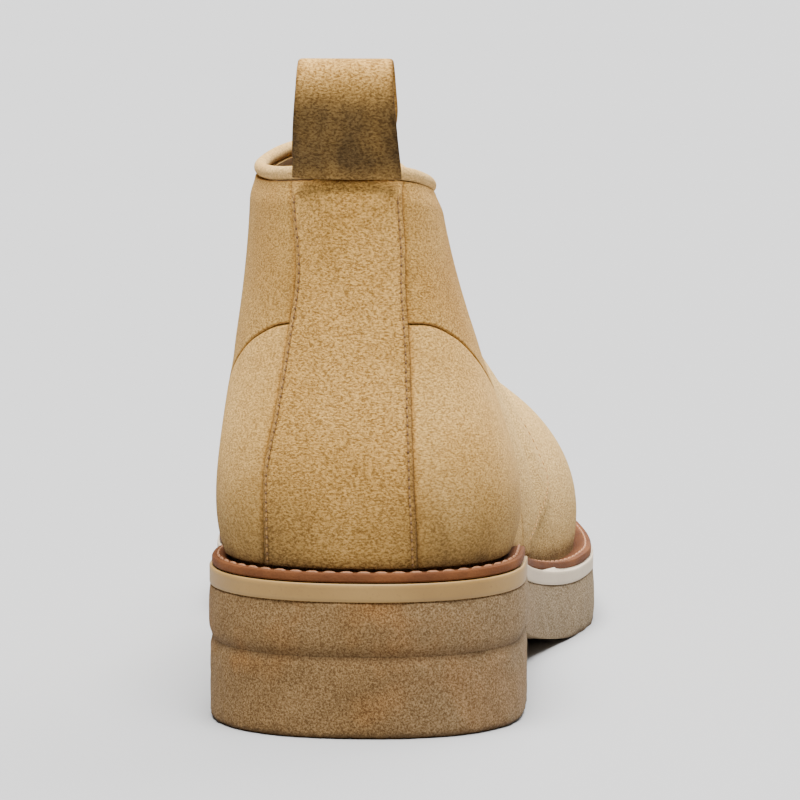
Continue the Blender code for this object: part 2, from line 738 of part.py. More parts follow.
def make_laces():
    """A straight lace bar from each eyelet to its partner, over the edges of both facings."""
    welt_line = edge_loop(WELT_MARGIN)
    high = GAP + PANEL + EYELET_CLEARANCE + EYELET_THICKNESS + LACE_CLEARANCE + LACE_DIAMETER / 2
    for number in range(EYELET_PAIRS):
        foot = EYELET_FIRST + (EYELET_LAST - EYELET_FIRST) * number / (EYELET_PAIRS - 1)
        route = []
        for side in (MEDIAL, LATERAL):
            spot, outward = upper_spot(foot, 1.0 - EYELET_SHARE, side, welt_line)
            high_handle, edge = rib_at(foot, side, welt_line)[2:]
            rising = (edge - high_handle).normalized()
            across = (edge - spot) - (edge - spot).dot(outward) * outward
            over_ring = spot + across.normalized() * EYELET_OUTER * LACE_RUN
            over_edge = edge + rising * (LACE_DIAMETER / 2 + LACE_EDGE_CLEARANCE)
            low = outward * high * LACE_DROP
            half = [spot + outward * high, over_ring + outward * high, over_edge + low, over_edge]
            route += half if side == MEDIAL else half[::-1]
        tube(f"lace_bar_{number + 1}", route, LACE_DIAMETER, "lace")


def make_collar_rim():
    """The rolled edge that covers the top of wall and panels, from one facing round the back to the other."""
    welt_line = edge_loop(WELT_MARGIN)
    size = len(welt_line)
    shown = [i for i in range(size // 2) if foot_share(i, welt_line) < SECTIONS[4].foot]
    order = [i for i in shown[::-1]] + [size - i for i in shown[1:]]
    lift = Vector((0.0, 0.0, RIM_WIDTH / 2 + RIM_CLEARANCE))
    line = [rib(i % size, welt_line)[3] + collar_roll(i % size, welt_line) + lift for i in order]
    tube("collar_rim", line, RIM_WIDTH, "rim")


def make_tongue():
    """The tongue under the lace bars, from below the vamp to above the collar's front."""
    welt_line = edge_loop(WELT_MARGIN)
    rows = []
    for step in range(TONGUE_STEPS + 1):
        foot = TONGUE_TOP + (TONGUE_ROOT - TONGUE_TOP) * step / TONGUE_STEPS
        row = []
        for side in (MEDIAL, LATERAL):
            shares = [TONGUE_OVERLAP * third / 3 for third in (3, 2, 1, 0)]
            half = [rib_point(rib_at(foot, side, welt_line), 1.0 - share) for share in shares]
            row += half if side == MEDIAL else half[::-1]
        middle = (row[3] + row[4]) / 2
        rows.append(row[:4] + [middle] + row[4:])
    up = (rows[0][4] - rows[2][4]).normalized() * TONGUE_RISE
    rows = [[p + up for p in rows[0]], [p + up / 2 for p in rows[0]]] + rows
    across = len(rows[0])
    points = [p for row in rows for p in row]
    faces = []
    for r in range(len(rows) - 1):
        for c in range(across - 1):
            here = r * across + c
            faces.append((here, here + 1, here + across + 1, here + across))
    mesh = mesh_from(points, faces, "tongue")
    facing = sum((polygon.normal.y + polygon.normal.z) * polygon.area for polygon in mesh.polygons)
    if facing < 0:
        mesh.flip_normals()
    for vertex, normal in zip(mesh.vertices, [v.normal.copy() for v in mesh.vertices]):
        vertex.co -= normal * (WALL + TONGUE_CLEARANCE)
    tongue = new_object("tongue", mesh, "suede", 0.95)
    solidify(tongue, TONGUE_THICKNESS, False, even=False)


def collar_spot(x):
    """The point of the collar's back edge at x, and the direction out of it, seen from above."""
    middle = top_point(0.0, LATERAL).x
    side = LATERAL if x >= middle else MEDIAL
    low = 0.0
    high = SECTIONS[2].foot
    for _ in range(30):
        guess = (low + high) / 2
        if side * (top_point(guess, side).x - x) < 0:
            low = guess
        else:
            high = guess
    here = top_point(low, side)
    along = top_point(low + COLLAR_PROBE, side) - top_point(max(low - COLLAR_PROBE, 0.0), side)
    outward = Vector((along.y, -along.x, 0.0)).normalized() * side
    if outward.y > 0:
        outward = -outward
    return here - outward * COLLAR_ROLL, outward


def make_pull_loop():
    """A folded strap that stands on the back of the collar, its inner leg tucked in behind the wall."""
    middle = top_point(0.0, LATERAL).x + LOOP_SHIFT
    rows = []
    for row in LOOP_PATH:
        across = []
        height = COLLAR_HEIGHT + row.height * LOOP_HEIGHT
        flat = smooth(row.height / LOOP_STRAIGHT)
        out = row.out * LOOP_THICKNESS
        for step in range(LOOP_COLUMNS + 1):
            share = 2.0 * step / LOOP_COLUMNS - 1.0
            x = middle + share * LOOP_WIDTH / 2 * row.width
            edge, outward = collar_spot(x)
            straight = Vector((x, collar_spot(middle)[0].y - out))
            if row.out > 0:
                curved = Vector((x, edge.y + out / outward.y))
            else:
                curved = (edge + outward * out).to_2d()
            spot = curved.lerp(straight, flat)
            across.append(Vector((spot.x, spot.y, height)))
        rows.append(across)
    count = LOOP_COLUMNS + 1
    points = [p for across in rows for p in across]
    faces = []
    for r in range(len(rows) - 1):
        for c in range(LOOP_COLUMNS):
            here = r * count + c
            faces.append((here, here + 1, here + count + 1, here + count))
    loop = new_object("pull_loop", mesh_from(points, faces, "pull_loop"), "suede", 0.95)
    shell = solidify(loop, LOOP_THICKNESS, True)
    shell.offset = 0.0


def make_upper():
    """The hollow upper, with the eyelets' holes through its facings."""
    upper = new_object("upper", upper_sheet("upper"), "suede", 0.95)
    solidify(upper, WALL, False)
    for side in (MEDIAL, LATERAL):
        cut(upper, eyelet_holes(side), "DIFFERENCE")


for item in list(bpy.data.objects):
    bpy.data.objects.remove(item)
BOOT = bpy.data.collections.new("chukka_boot")
CUTTERS = bpy.data.collections.new("cutters")
bpy.context.scene.collection.children.link(BOOT)
bpy.context.scene.collection.children.link(CUTTERS)

make_sole()
make_upper()
make_panels()
make_collar_rim()
make_tongue()
make_eyelets()
make_laces()
make_pull_loop()
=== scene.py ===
"""Looks of the chukka boot: fine meshes, seams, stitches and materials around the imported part.

Metres, +Z up, toe towards +Y and the outer side of the right foot towards +X, as in the part. The soft pieces
repeat the part's own sections at a finer pitch, so that every piece lies where its solid lies.
"""

import math
from collections import namedtuple

import bmesh
import bpy
import numpy as np
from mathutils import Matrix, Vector


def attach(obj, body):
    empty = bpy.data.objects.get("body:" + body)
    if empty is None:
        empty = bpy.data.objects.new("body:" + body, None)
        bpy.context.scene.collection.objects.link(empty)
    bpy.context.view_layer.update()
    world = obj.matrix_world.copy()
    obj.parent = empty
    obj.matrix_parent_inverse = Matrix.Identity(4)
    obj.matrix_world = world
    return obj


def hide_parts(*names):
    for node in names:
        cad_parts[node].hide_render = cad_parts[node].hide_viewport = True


# Sizes of the part
SOLE_LENGTH = 0.302
HEEL_BACK = 0.038
BALL_WIDTH = 0.1055
WAIST_WIDTH = 0.067
HEEL_WIDTH = 0.078
HEEL_HEIGHT = 0.0198
HEEL_LENGTH = 0.074
RUNNER_THICKNESS = 0.0132
FOREPART_THICKNESS = 0.0146
MIDSOLE_THICKNESS = 0.0042
MIDSOLE_FOREPART = 0.0034
WELT_THICKNESS = 0.0022
TOE_SPRING = 0.008
WELT_MARGIN = 0.0055
WELT_SETBACK = 0.0006
ARCH_START = 0.13
ARCH_END = 0.56
SPRING_START = 0.72
SPRING_ROUNDNESS = 1.8
COLLAR_HEIGHT = 0.134
COLLAR_WIDTH = 0.0445
INSTEP_HEIGHT = 0.095
BALL_HEIGHT = 0.073
TOE_HEIGHT = 0.055
LATERAL_DIP = 0.006
WALL = 0.0016
PANEL = 0.0010
BACKSTAY_THICKNESS = 0.0015
BACKSTAY_WIDTH = 0.0250
RIM_WIDTH = 0.0034
RIM_CLEARANCE = 0.0006
COLLAR_ROLL = 0.0012
ROLL_START = 0.955
LOOP_WIDTH = 0.0250
LOOP_HEIGHT = 0.0290
LOOP_THICKNESS = 0.0016
LOOP_SHIFT = -0.0022
TONGUE_THICKNESS = 0.0024
TONGUE_RISE = 0.012
TONGUE_CLEARANCE = 0.0016
EYELET_OUTER = 0.0084
EYELET_HOLE = 0.0044
EYELET_SHARE = 0.085
EYELET_FIRST = 0.418
EYELET_LAST = 0.484
EYELET_PAIRS = 3
LACE_DIAMETER = 0.0028
TONGUE_OVERLAP = 0.15
TONGUE_TOP = 0.395
TONGUE_ROOT = 0.540
GAP = 0.0003
TOE_ROUNDNESS = 2.45
HEEL_ROUNDNESS = 2.3
TIP_SHIFT = -0.07
TIP_SHIFT_START = 0.6
END_PLACE = 0.13
END_TURN = 0.178
COLLAR_ROUNDNESS = 2.2
THROAT_ROUND = 0.035
DIP_FULL = 0.28
DIP_FADES = 0.32
DIP_GONE = 0.45
LOOP_STRAIGHT = 0.6

MEDIAL = -1
LATERAL = 1
SIDES = (("medial", MEDIAL), ("lateral", LATERAL))
UP = np.array([0.0, 0.0, 1.0])

# Share of the height where panels start, the inner face's height over the upper, the seam between counter and
# quarter, and the swell of the tongue
PANEL_FOOT = 0.012
PANEL_LIFT = 0.0001
COUNTER_SEAM = 0.0004
TONGUE_SWELL = 0.0006

# Stitches: how far a row lies from its edge, and their pitch and length
STITCH_INSET = 0.0013
STITCH_LENGTH = 0.0013
STRIP_PITCH = 0.0021

# The welt's stitches: how far in they lie, their pitch, length and radius
WELT_ROW = 0.0022
WELT_PITCH = 0.0042
WELT_STITCH = 0.0034
WELT_STITCH_RADIUS = 0.00036

# Fineness of the meshes, the points over which the rim's ends taper, and the step that directions are
# measured over
TURNS = 720
RIB_ROWS = 72
RIM_TAPER = 9
SIDE_COLUMNS = 150
EDGE_ROWS = 160
EYELET_SIDES = 28
PROBE = 0.0015


def table(fields, *rows):
    """Rows whose values have names."""
    row_type = namedtuple("Row", fields)
    return [row_type(*row) for row in rows]


OUTLINE = table(
    "width medial_place medial_share lateral_place lateral_share",
    (HEEL_WIDTH, 0.13, 0.500, 0.13, 0.500),
    (WAIST_WIDTH, 0.42, 0.455, 0.35, 0.545),
    (BALL_WIDTH, 0.70, 0.515, 0.63, 0.480),
)

SECTIONS = table(
    "foot top height_of height ridge half",
    (0.000, 0.038, COLLAR_HEIGHT, 1.000, -0.009, 0.50),
    (0.100, 0.115, COLLAR_HEIGHT, 0.986, -0.042, 0.50),
    (0.200, 0.209, COLLAR_HEIGHT, 0.982, -0.072, 0.50),
    (0.310, 0.315, COLLAR_HEIGHT, 0.992, -0.098, 0.40),
    (0.385, 0.384, COLLAR_HEIGHT, 1.000, -0.108, 0.24),
    (0.450, 0.445, COLLAR_HEIGHT, 0.870, -0.112, 0.21),
    (0.530, 0.517, INSTEP_HEIGHT, 1.000, -0.114, 0.18),
    (0.690, 0.656, BALL_HEIGHT, 1.000, -0.095, 0.00),
    (0.850, 0.805, TOE_HEIGHT, 1.090, -0.075, 0.00),
    (1.000, 0.894, TOE_HEIGHT, 1.000, -0.068, 0.00),
)

SWELLS = table(
    "foot medial_swell lateral_swell belly shoulder drop",
    (0.000, 0.094, 0.094, 0.22, 0.20, 0.45),
    (0.100, 0.104, 0.119, 0.21, 0.31, 0.48),
    (0.200, 0.134, 0.124, 0.21, 0.36, 0.48),
    (0.385, 0.144, 0.064, 0.28, 0.38, 0.36),
    (0.530, 0.114, 0.059, 0.43, 0.37, 0.10),
    (0.690, 0.099, 0.083, 0.54, 0.60, 0.00),
    (0.850, 0.094, 0.079, 0.64, 0.56, 0.00),
    (1.000, 0.089, 0.089, 0.78, 0.50, 0.00),
)

COUNTER_EDGE = table(
    "place height",
    (-0.040, 0.752), (0.045, 0.738), (0.075, 0.708), (0.110, 0.660), (0.150, 0.615),
    (0.200, 0.570), (0.260, 0.520), (0.320, 0.455), (0.380, 0.350), (0.430, 0.100),
)
QUARTER_EDGE = table(
    "place height",
    (0.437, 0.100), (0.442, 0.215), (0.462, 0.240), (0.500, 0.275), (0.536, 0.325),
    (0.551, 0.400), (0.557, 0.480), (0.548, 0.590), (0.518, 0.680), (0.482, 0.760),
)

BACKSTAY = table(
    "height width_share middle",
    (0.20, 1.46, -0.050),
    (0.37, 1.45, -0.053),
    (0.46, 1.43, -0.058),
    (0.58, 1.29, -0.045),
    (0.70, 1.15, -0.034),
    (0.84, 1.00, -0.028),
    (0.98, 1.01, -0.044),
    (1.10, 1.01, -0.044),
)

LOOP_PATH = table(
    "height out width",
    (0.015, 1.90, 1.05),
    (0.14, 2.10, 1.04),
    (0.32, 2.95, 1.02),
    (0.55, 3.80, 0.98),
    (0.76, 3.95, 0.94),
    (0.90, 3.30, 0.92),
    (0.972, 1.80, 0.91),
    (0.972, 0.20, 0.91),
    (0.90, -1.10, 0.92),
    (0.76, -1.90, 0.94),
    (0.50, -2.35, 0.98),
    (0.20, -2.40, 1.00),
    (-0.15, -2.35, 1.00),
    (-0.50, -2.20, 1.00),
)

# Heights above the welt over which shade is painted on the suede, in the groove and more faintly above it,
# and how strongly shade is painted on the loop's lower outer leg, under its overhanging top
GROOVE_SHADE_HEIGHT = 0.005
FOOT_SHADE_HEIGHT = 0.038
LOOP_PAINTED_SHADE = 0.96

# The soft groove where heel and runner meet
JOINT_DEPTH = 0.0006
JOINT_REACH = 0.0017

# Height of the band of painted shade along the lower edge of the heel and the runner, and how uneven
# their sides are
TREAD_SHADE_HEIGHT = 0.0011
CREPE_ROUGH = 0.00014

# Soft creases: foot and share say where one crosses the upper's sections, the runs how far it
# reaches along the foot and up the section, and depth how deep its trough is
CREASES = table(
    "side foot share foot_run share_run depth",
    (LATERAL, 0.47, 0.34, 0.020, 0.26, 0.0009),
    (LATERAL, 0.60, 0.80, 0.013, 0.30, 0.0006),
    (MEDIAL, 0.60, 0.80, 0.013, 0.30, 0.0006),
    (LATERAL, 0.66, 0.86, 0.012, 0.26, 0.0005),
    (MEDIAL, 0.66, 0.86, 0.012, 0.26, 0.0005),
    (LATERAL, 0.30, 0.62, 0.110, 0.055, 0.0005),
    (MEDIAL, 0.28, 0.60, 0.120, 0.055, 0.0006),
    (MEDIAL, 0.46, 0.40, 0.018, 0.22, 0.0006),
)

# Soft lights as name, direction towards the light, spread in degrees and strength
STUDIO_LIGHTS = (
    ("overhead", (0.0, -0.16, 1.0), 40.0, 11.5),
    ("front", (0.25, 0.75, 0.8), 50.0, 3.0),
)
WORLD_STRENGTH = 0.15

# The camera's place in metres, its turn and tilt in degrees and its lens in millimetres, and half the floor
CAMERA_PLACE = (0.099, -1.297, 0.228)
CAMERA_HEADING = 4.015
CAMERA_PITCH = 6.58
CAMERA_LENS = 239.6
FLOOR_REACH = 6.0


# Sections of the part


def place_to_y(share):
    """The y of a place given as a share of the sole's length from its back."""
    return share * SOLE_LENGTH - HEEL_BACK


def y_to_place(y):
    """The share of the sole's length from its back at which a y lies."""
    return (y + HEEL_BACK) / SOLE_LENGTH


def smooth(share):
    """A soft step from 0 to 1."""
    share = np.clip(share, 0.0, 1.0)
    return share * share * (3.0 - 2.0 * share)


def unit(vectors):
    """The same directions at length 1."""
    return vectors / np.maximum(np.linalg.norm(vectors, axis=-1, keepdims=True), 1e-12)


def at_height(line, height):
    """A line seen from above, at given heights."""
    return np.stack([line[..., 0], line[..., 1], height], axis=-1)


def read(rows, column, at, key=None):
    """Reads a column of a table at places between rows, on a curve that never overshoots them.

    column is a name or a function of a row, and key names the column of the places, if it isn't the first.
    """
    xs = np.array([getattr(row, key or row._fields[0]) for row in rows])
    ys = np.array([column(row) if callable(column) else getattr(row, column) for row in rows])
    at = np.clip(at, xs[0], xs[-1])
    slopes = np.diff(ys) / np.diff(xs)
    before = np.append(slopes[:1], slopes)
    after = np.append(slopes, slopes[-1:])
    total = np.where(before * after > 0, before + after, 1.0)
    ends = np.where(before * after > 0, 2 * before * after / total, 0.0)
    i = np.clip(np.searchsorted(xs, at, side="left") - 1, 0, len(slopes) - 1)
    step = xs[i + 1] - xs[i]
    s = (at - xs[i]) / step
    bend = ends[i] * s * (1 - s) ** 2 - ends[i + 1] * s * s * (1 - s)
    return ys[i] + (ys[i + 1] - ys[i]) * smooth(s) + bend * step


def side_half_width(y, side):
    """Half-width of the sole's edge at y on one side."""
    medial = side == MEDIAL
    turns = [(place_to_y(row.medial_place if medial else row.lateral_place),
              row.width * (row.medial_share if medial else row.lateral_share)) for row in OUTLINE]
    (heel_y, heel_half), (waist_y, waist_half), (ball_y, ball_half) = turns
    back = np.clip((heel_y - y) / (heel_y - place_to_y(0.0)), 0.0, 1.0)
    front = np.clip((y - ball_y) / (place_to_y(1.0) - ball_y), 0.0, 1.0)
    half = heel_half + (waist_half - heel_half) * smooth((y - heel_y) / (waist_y - heel_y))
    half = half + (ball_half - waist_half) * smooth((y - waist_y) / (ball_y - waist_y))
    half = half * (1.0 - back ** HEEL_ROUNDNESS) ** (1.0 / HEEL_ROUNDNESS)
    return half * (1.0 - front ** TOE_ROUNDNESS) ** (1.0 / TOE_ROUNDNESS)


def turn_to_place(turn):
    """Spaces turns along the sole: evenly in the middle, and closer round the back and the toe."""
    near = np.minimum(turn, 1.0 - turn)
    ends = END_PLACE * (1.0 - np.cos(math.pi / 2 * np.minimum(near / END_TURN, 1.0)))
    middle = END_PLACE + (0.5 - END_PLACE) * (near - END_TURN) / (0.5 - END_TURN)
    place = np.where(near < END_TURN, ends, middle)
    return np.where(turn > 0.5, 1.0 - place, place)


def raw_edge(u):
    """The sole's edge: u runs from 0 at the back to 1 at the toe, and below 0 it is the medial side."""
    u = (np.asarray(u) + 1.0) % 2.0 - 1.0
    side = np.where(u >= 0, LATERAL, MEDIAL)
    y = place_to_y(turn_to_place(np.abs(u)))
    half = np.where(u >= 0, side_half_width(y, LATERAL), side_half_width(y, MEDIAL))
    start = place_to_y(TIP_SHIFT_START)
    shift = TIP_SHIFT * BALL_WIDTH * smooth((y - start) / (place_to_y(1.0) - start))
    return np.stack([side * half + shift, y], axis=-1)


def edge_frame(u):
    """Inward directions at the sole's edge."""
    along = raw_edge(u + PROBE) - raw_edge(u - PROBE)
    return unit(np.stack([-along[..., 1], along[..., 0]], axis=-1))


def edge(u, inset=0.0):
    """The sole's edge moved in by inset."""
    return raw_edge(u) + edge_frame(u) * np.asarray(inset)[..., None]


def tread_height(y):
    """Height of the runner's underside: up on the heel, down the arch, flat at the ball, up at the toe."""
    arch_start = place_to_y(ARCH_START)
    arch_end = place_to_y(ARCH_END)
    spring_start = place_to_y(SPRING_START)
    arch = (HEEL_HEIGHT + GAP) * (1.0 - smooth((y - arch_start) / (arch_end - arch_start)))
    past = np.maximum((y - spring_start) / (place_to_y(1.0) - spring_start), 0.0)
    return arch + TOE_SPRING * past ** SPRING_ROUNDNESS


def forward(y):
    """From 0 at the heel to 1 at the ball, for the layers whose thickness changes."""
    return smooth((y - place_to_y(END_PLACE)) / (place_to_y(ARCH_END) - place_to_y(END_PLACE)))


def runner_top(y):
    return tread_height(y) + RUNNER_THICKNESS + (FOREPART_THICKNESS - RUNNER_THICKNESS) * forward(y)


def midsole_top(y):
    return runner_top(y) + GAP + MIDSOLE_THICKNESS + (MIDSOLE_FOREPART - MIDSOLE_THICKNESS) * forward(y)


def top_point(foot, side):
    """The upper end of a section: on the collar, then on the throat's edge, then on the ridge of the vamp."""
    y = place_to_y(read(SECTIONS, "top", foot))
    height = read(SECTIONS, lambda row: row.height * row.height_of, foot)
    ridge = BALL_WIDTH * read(SECTIONS, "ridge", foot)
    half = COLLAR_WIDTH * read(SECTIONS, "half", foot)
    round_end = SECTIONS[2].foot
    back = np.clip(1.0 - foot / round_end, 0.0, 1.0)
    rounded = COLLAR_WIDTH / 2 * (1.0 - back ** COLLAR_ROUNDNESS) ** (1.0 / COLLAR_ROUNDNESS)
    half = np.where(foot < round_end, rounded, half)
    closing = np.clip((foot - SECTIONS[6].foot + THROAT_ROUND) / THROAT_ROUND, 0.0, 1.0)
    half = half * np.sqrt(1.0 - closing ** 2)
    left = 1.0 - smooth((foot - DIP_FADES) / (DIP_GONE - DIP_FADES))
    dip = LATERAL_DIP * smooth(foot / DIP_FULL) * left
    height = height - np.where(side == LATERAL, dip, 0.0)
    return np.stack([ridge + side * half, y, height], axis=-1)


def make_sections():
    """The Bezier handles of all sections, and how far each collar edge rolls in."""
    u = -1.0 + np.arange(2 * TURNS) / TURNS
    side = np.where(u >= 0, LATERAL, MEDIAL)
    line = edge(u, WELT_MARGIN)
    mirrored = edge(-u, WELT_MARGIN)
    back = edge(np.array([0.0]), WELT_MARGIN)[0, 1]
    toe = edge(np.array([1.0]), WELT_MARGIN)[0, 1]
    foot = np.clip(((line[:, 1] + mirrored[:, 1]) / 2 - back) / (toe - back), 0.0, 1.0)
    start = at_height(line, midsole_top(line[:, 1]) + 2 * GAP + WELT_THICKNESS)
    end = top_point(foot, side)
    rise = end[:, 2] - start[:, 2]
    columns = [read(SWELLS, name, foot) for name in SWELLS[0]._fields[1:]]
    medial_swell, lateral_swell, belly, shoulder, drop = columns
    swell = np.where(side == MEDIAL, medial_swell, lateral_swell)
    outward = at_height(-edge_frame(u), np.zeros(len(u)))
    across = (start - end) * np.array([1.0, 1.0, 0.0])
    low = start + outward * (swell * HEEL_WIDTH)[:, None] + UP * (belly * rise)[:, None]
    high = end + across * shoulder[:, None] - UP * (drop * rise)[:, None]
    along = np.roll(end, -1, axis=0) - np.roll(end, 1, axis=0)
    inward = unit(np.stack([-along[:, 1], along[:, 0], 0 * along[:, 0]], axis=-1))
    fading = smooth((SECTIONS[4].foot - foot) / (SECTIONS[4].foot - SECTIONS[3].foot))
    return np.stack([start, low, high, end], axis=1), inward * (COLLAR_ROLL * fading)[:, None], foot


HANDLES, ROLLS, FEET = make_sections()


def between(table, u):
    """Reads a table of all turns at any turns between them."""
    place = ((np.asarray(u) + 1.0) % 2.0) * TURNS
    low = np.floor(place).astype(int)
    share = (place - low).reshape(place.shape + (1,) * (table.ndim - 1))
    return table[low % len(table)] * (1 - share) + table[(low + 1) % len(table)] * share


def foot_at(u):
    """Share of the welt line at which the section of a turn starts."""
    return between(FEET[:, None], u)[..., 0]


def plain_surface(u, v):
    """Points of the upper's outer surface. v runs from 0 at the welt to 1 at the upper end."""
    u, v = np.broadcast_arrays(u, v)
    start, low, high, end = np.moveaxis(between(HANDLES, u), -2, 0)
    v = v[..., None]
    rest = 1.0 - v
    point = rest ** 3 * start + 3 * rest * rest * v * low + 3 * rest * v * v * high + v ** 3 * end
    return point + between(ROLLS, u) * smooth((v - ROLL_START) / (1.0 - ROLL_START))


def directions(u, v):
    """Directions out of the upper's surface."""
    u, v = np.broadcast_arrays(u, v)
    high = np.minimum(v + PROBE, 1.0)
    low = np.maximum(v - PROBE, 0.0)
    along = plain_surface(u + PROBE, v) - plain_surface(u - PROBE, v)
    up = plain_surface(u, high) - plain_surface(u, low)
    return unit(np.cross(along, up))


def crease_depth(u, v):
    """How far the creases press the surface in, with a soft ridge on both sides of each trough."""
    u, v = np.broadcast_arrays(u, v)
    foot = foot_at(u)
    total = np.zeros(u.shape)
    for row in CREASES:
        side = np.where(u >= 0, LATERAL, MEDIAL) == row.side
        a = (foot - row.foot) / row.foot_run
        b = (v - row.share) / row.share_run
        narrow, wide = (a, b) if row.foot_run < row.share_run / 3 else (b, a)
        trough = (1.0 - 0.8 * narrow ** 2) * np.exp(-narrow ** 2 - wide ** 2)
        total += np.where(side, row.depth * trough, 0.0)
    return total


def surface(u, v, lift=0.0):
    """Points of the upper at a height over its outer surface, creases and all."""
    return plain_surface(u, v) + directions(u, v) * (np.asarray(lift) - crease_depth(u, v))[..., None]


def solve(function, low, high):
    """Where a rising function crosses zero, for many places at once."""
    for _ in range(32):
        middle = (low + high) / 2
        above = function(middle) > 0
        high = np.where(above, middle, high)
        low = np.where(above, low, middle)
    return (low + high) / 2


# Edges of the panels on the upper


def strip_edge(z, side):
    """Sideways place of the backstay's edge at a height, seen from behind."""
    height = z / COLLAR_HEIGHT
    middle = HEEL_WIDTH * read(BACKSTAY, "middle", height)
    return middle + side * BACKSTAY_WIDTH / 2 * read(BACKSTAY, "width_share", height)


def strip_turn(v, side, spare=0.0):
    """The turn at which the backstay's edge lies, moved out by spare."""
    def beyond(turn):
        point = plain_surface(side * turn, v)
        return side * (point[..., 0] - strip_edge(point[..., 2], side)) - spare

    return side * solve(beyond, np.zeros(np.shape(v)), np.full(np.shape(v), 0.25))


def front_turn(v, side, spare=0.0):
    """The turn at which the quarter's front edge lies, moved forwards by spare."""
    def beyond(turn):
        point = plain_surface(side * turn, v)
        edge_place = read(QUARTER_EDGE, "place", point[..., 2] / COLLAR_HEIGHT, "height")
        return point[..., 1] - place_to_y(edge_place) - spare

    return side * solve(beyond, np.full(np.shape(v), 0.25), np.full(np.shape(v), 0.75))


def counter_share(turn_at, count, spare=0.0):
    """Shares at which the counter's top edge crosses columns. turn_at gives a column's turn at a share."""
    def beyond(v):
        point = plain_surface(turn_at(v), v)
        place = y_to_place(point[..., 1])
        return point[..., 2] - COLLAR_HEIGHT * read(COUNTER_EDGE, "height", place) - spare

    return solve(beyond, np.zeros(count), np.ones(count))


# Meshes


def grid_faces(rows, columns, closed=False):
    """Faces between rows of points. closed joins the last column to the first."""
    faces = []
    for r in range(rows - 1):
        for c in range(columns if closed else columns - 1):
            d = (c + 1) % columns
            faces.append((r * columns + c, r * columns + d, (r + 1) * columns + d, (r + 1) * columns + c))
    return faces


def add_object(name, data):
    """A new object in the scene."""
    made = bpy.data.objects.new(name, data)
    bpy.context.scene.collection.objects.link(made)
    return made


def make_piece(name, points, faces, materials, node=None, indices=None, shade=None, painted_shade=None,
               smooth_angle=50):
    """Makes a piece of the look, with doubled points joined, and ties it to the node that it stands for.

    shade runs from 0 at a cut edge to 1 away from it, and the other attribute is painted shade, from 0
    where none is painted to 1 where it is darkest.
    """
    mesh = bpy.data.meshes.new(name)
    mesh.from_pydata([tuple(point) for point in points], [], faces)
    if indices is not None:
        mesh.polygons.foreach_set("material_index", indices)
    for word, values in (("shade", shade), ("painted_shade", painted_shade)):
        if values is not None:
            layer = mesh.attributes.new(word, "FLOAT", "POINT")
            layer.data.foreach_set("value", np.asarray(values, dtype=np.float32).ravel())
    made = bmesh.new()
    made.from_mesh(mesh)
    bmesh.ops.remove_doubles(made, verts=made.verts, dist=0.000005)
    bmesh.ops.dissolve_degenerate(made, dist=0.000002, edges=made.edges)
    bmesh.ops.recalc_face_normals(made, faces=made.faces)
    made.to_mesh(mesh)
    made.free()
    mesh.shade_smooth()
    mesh.set_sharp_from_angle(angle=math.radians(smooth_angle))
    for material in materials:
        mesh.materials.append(material)
    piece = add_object(name, mesh)
    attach(piece, "root")
    if node:
        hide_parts(*([node] if isinstance(node, str) else node))
    return piece


def eased(count, edge_steps=(0.0, 0.0025, 0.006, 0.012, 0.022)):
    """Spacing from 0 to 1 that is close at both ends, for rounded edges."""
    inner = np.linspace(edge_steps[-1], 1 - edge_steps[-1], count)
    ends = np.array(edge_steps[:-1])
    return np.concatenate([ends, inner, 1 - ends[::-1]])


def border_distance(rows, columns):
    """How many grid steps each point lies from the border."""
    r = np.minimum(np.arange(rows), np.arange(rows)[::-1])[:, None]
    c = np.minimum(np.arange(columns), np.arange(columns)[::-1])[None, :]
    return np.minimum(r, c)


EDGE_ROUND = np.array([0.45, 0.80, 0.95, 1.0])
LAST_ROUND = len(EDGE_ROUND) - 1
SHADE_STEPS = 4


def slab(outer, inner):
    """Points and faces of a closed slab between two grids of points."""
    rows, columns = outer.shape[:2]
    count = rows * columns
    points = np.concatenate([outer.reshape(-1, 3), inner.reshape(-1, 3)])
    faces = grid_faces(rows, columns)
    faces += [tuple(count + i for i in face[::-1]) for face in faces]
    ring = [c for c in range(columns)] + [r * columns + columns - 1 for r in range(1, rows)]
    ring += [(rows - 1) * columns + c for c in range(columns - 2, -1, -1)]
    ring += [r * columns for r in range(rows - 2, 0, -1)]
    faces += [(b, a, count + a, count + b) for a, b in zip(ring, ring[1:] + ring[:1])]
    return points, faces


def joined_ends(rows, columns):
    """Faces that join the last ring of a closed grid to its first."""
    last = (rows - 1) * columns
    return [(last + i, last + (i + 1) % columns, (i + 1) % columns, i) for i in range(columns)]


def shade_at(distance):
    """From 0 on a border to 1 a few grid steps in, as one row."""
    return np.minimum(distance, SHADE_STEPS).ravel() / SHADE_STEPS


def foot_painted_shade(u, v):
    """Painted shade on the suede above the welt: most in the groove, and gone a few centimetres up."""
    u, v = np.broadcast_arrays(u, v)
    height = plain_surface(u, v)[..., 2] - between(HANDLES, u)[..., 0, 2]
    groove = 0.55 * (1.0 - smooth(height / GROOVE_SHADE_HEIGHT))
    beside_strip = smooth(np.abs(u) / 0.06) * (1.0 - smooth((np.abs(u) - 0.12) / 0.15))
    return groove + (0.38 + 0.32 * beside_strip) * (1.0 - smooth(height / FOOT_SHADE_HEIGHT)) * (1.0 - groove)


def panel(name, u, v, thickness, materials, node):
    """A leather panel on the upper: a closed slab over a grid of turns and shares, its edges rounded."""
    distance = border_distance(*u.shape)
    rounded = EDGE_ROUND[np.minimum(distance, LAST_ROUND)]
    outer = surface(u, v, PANEL_LIFT + GAP + thickness * rounded)
    points, faces = slab(outer, surface(u, v, PANEL_LIFT))
    shade = np.concatenate([shade_at(distance), np.zeros(distance.size)])
    # Painted shade low on the panel, above the welt
    painted_shade = np.tile(foot_painted_shade(u, v).ravel(), 2)
    return make_piece(name, points, faces, materials, node, shade=shade, painted_shade=painted_shade)


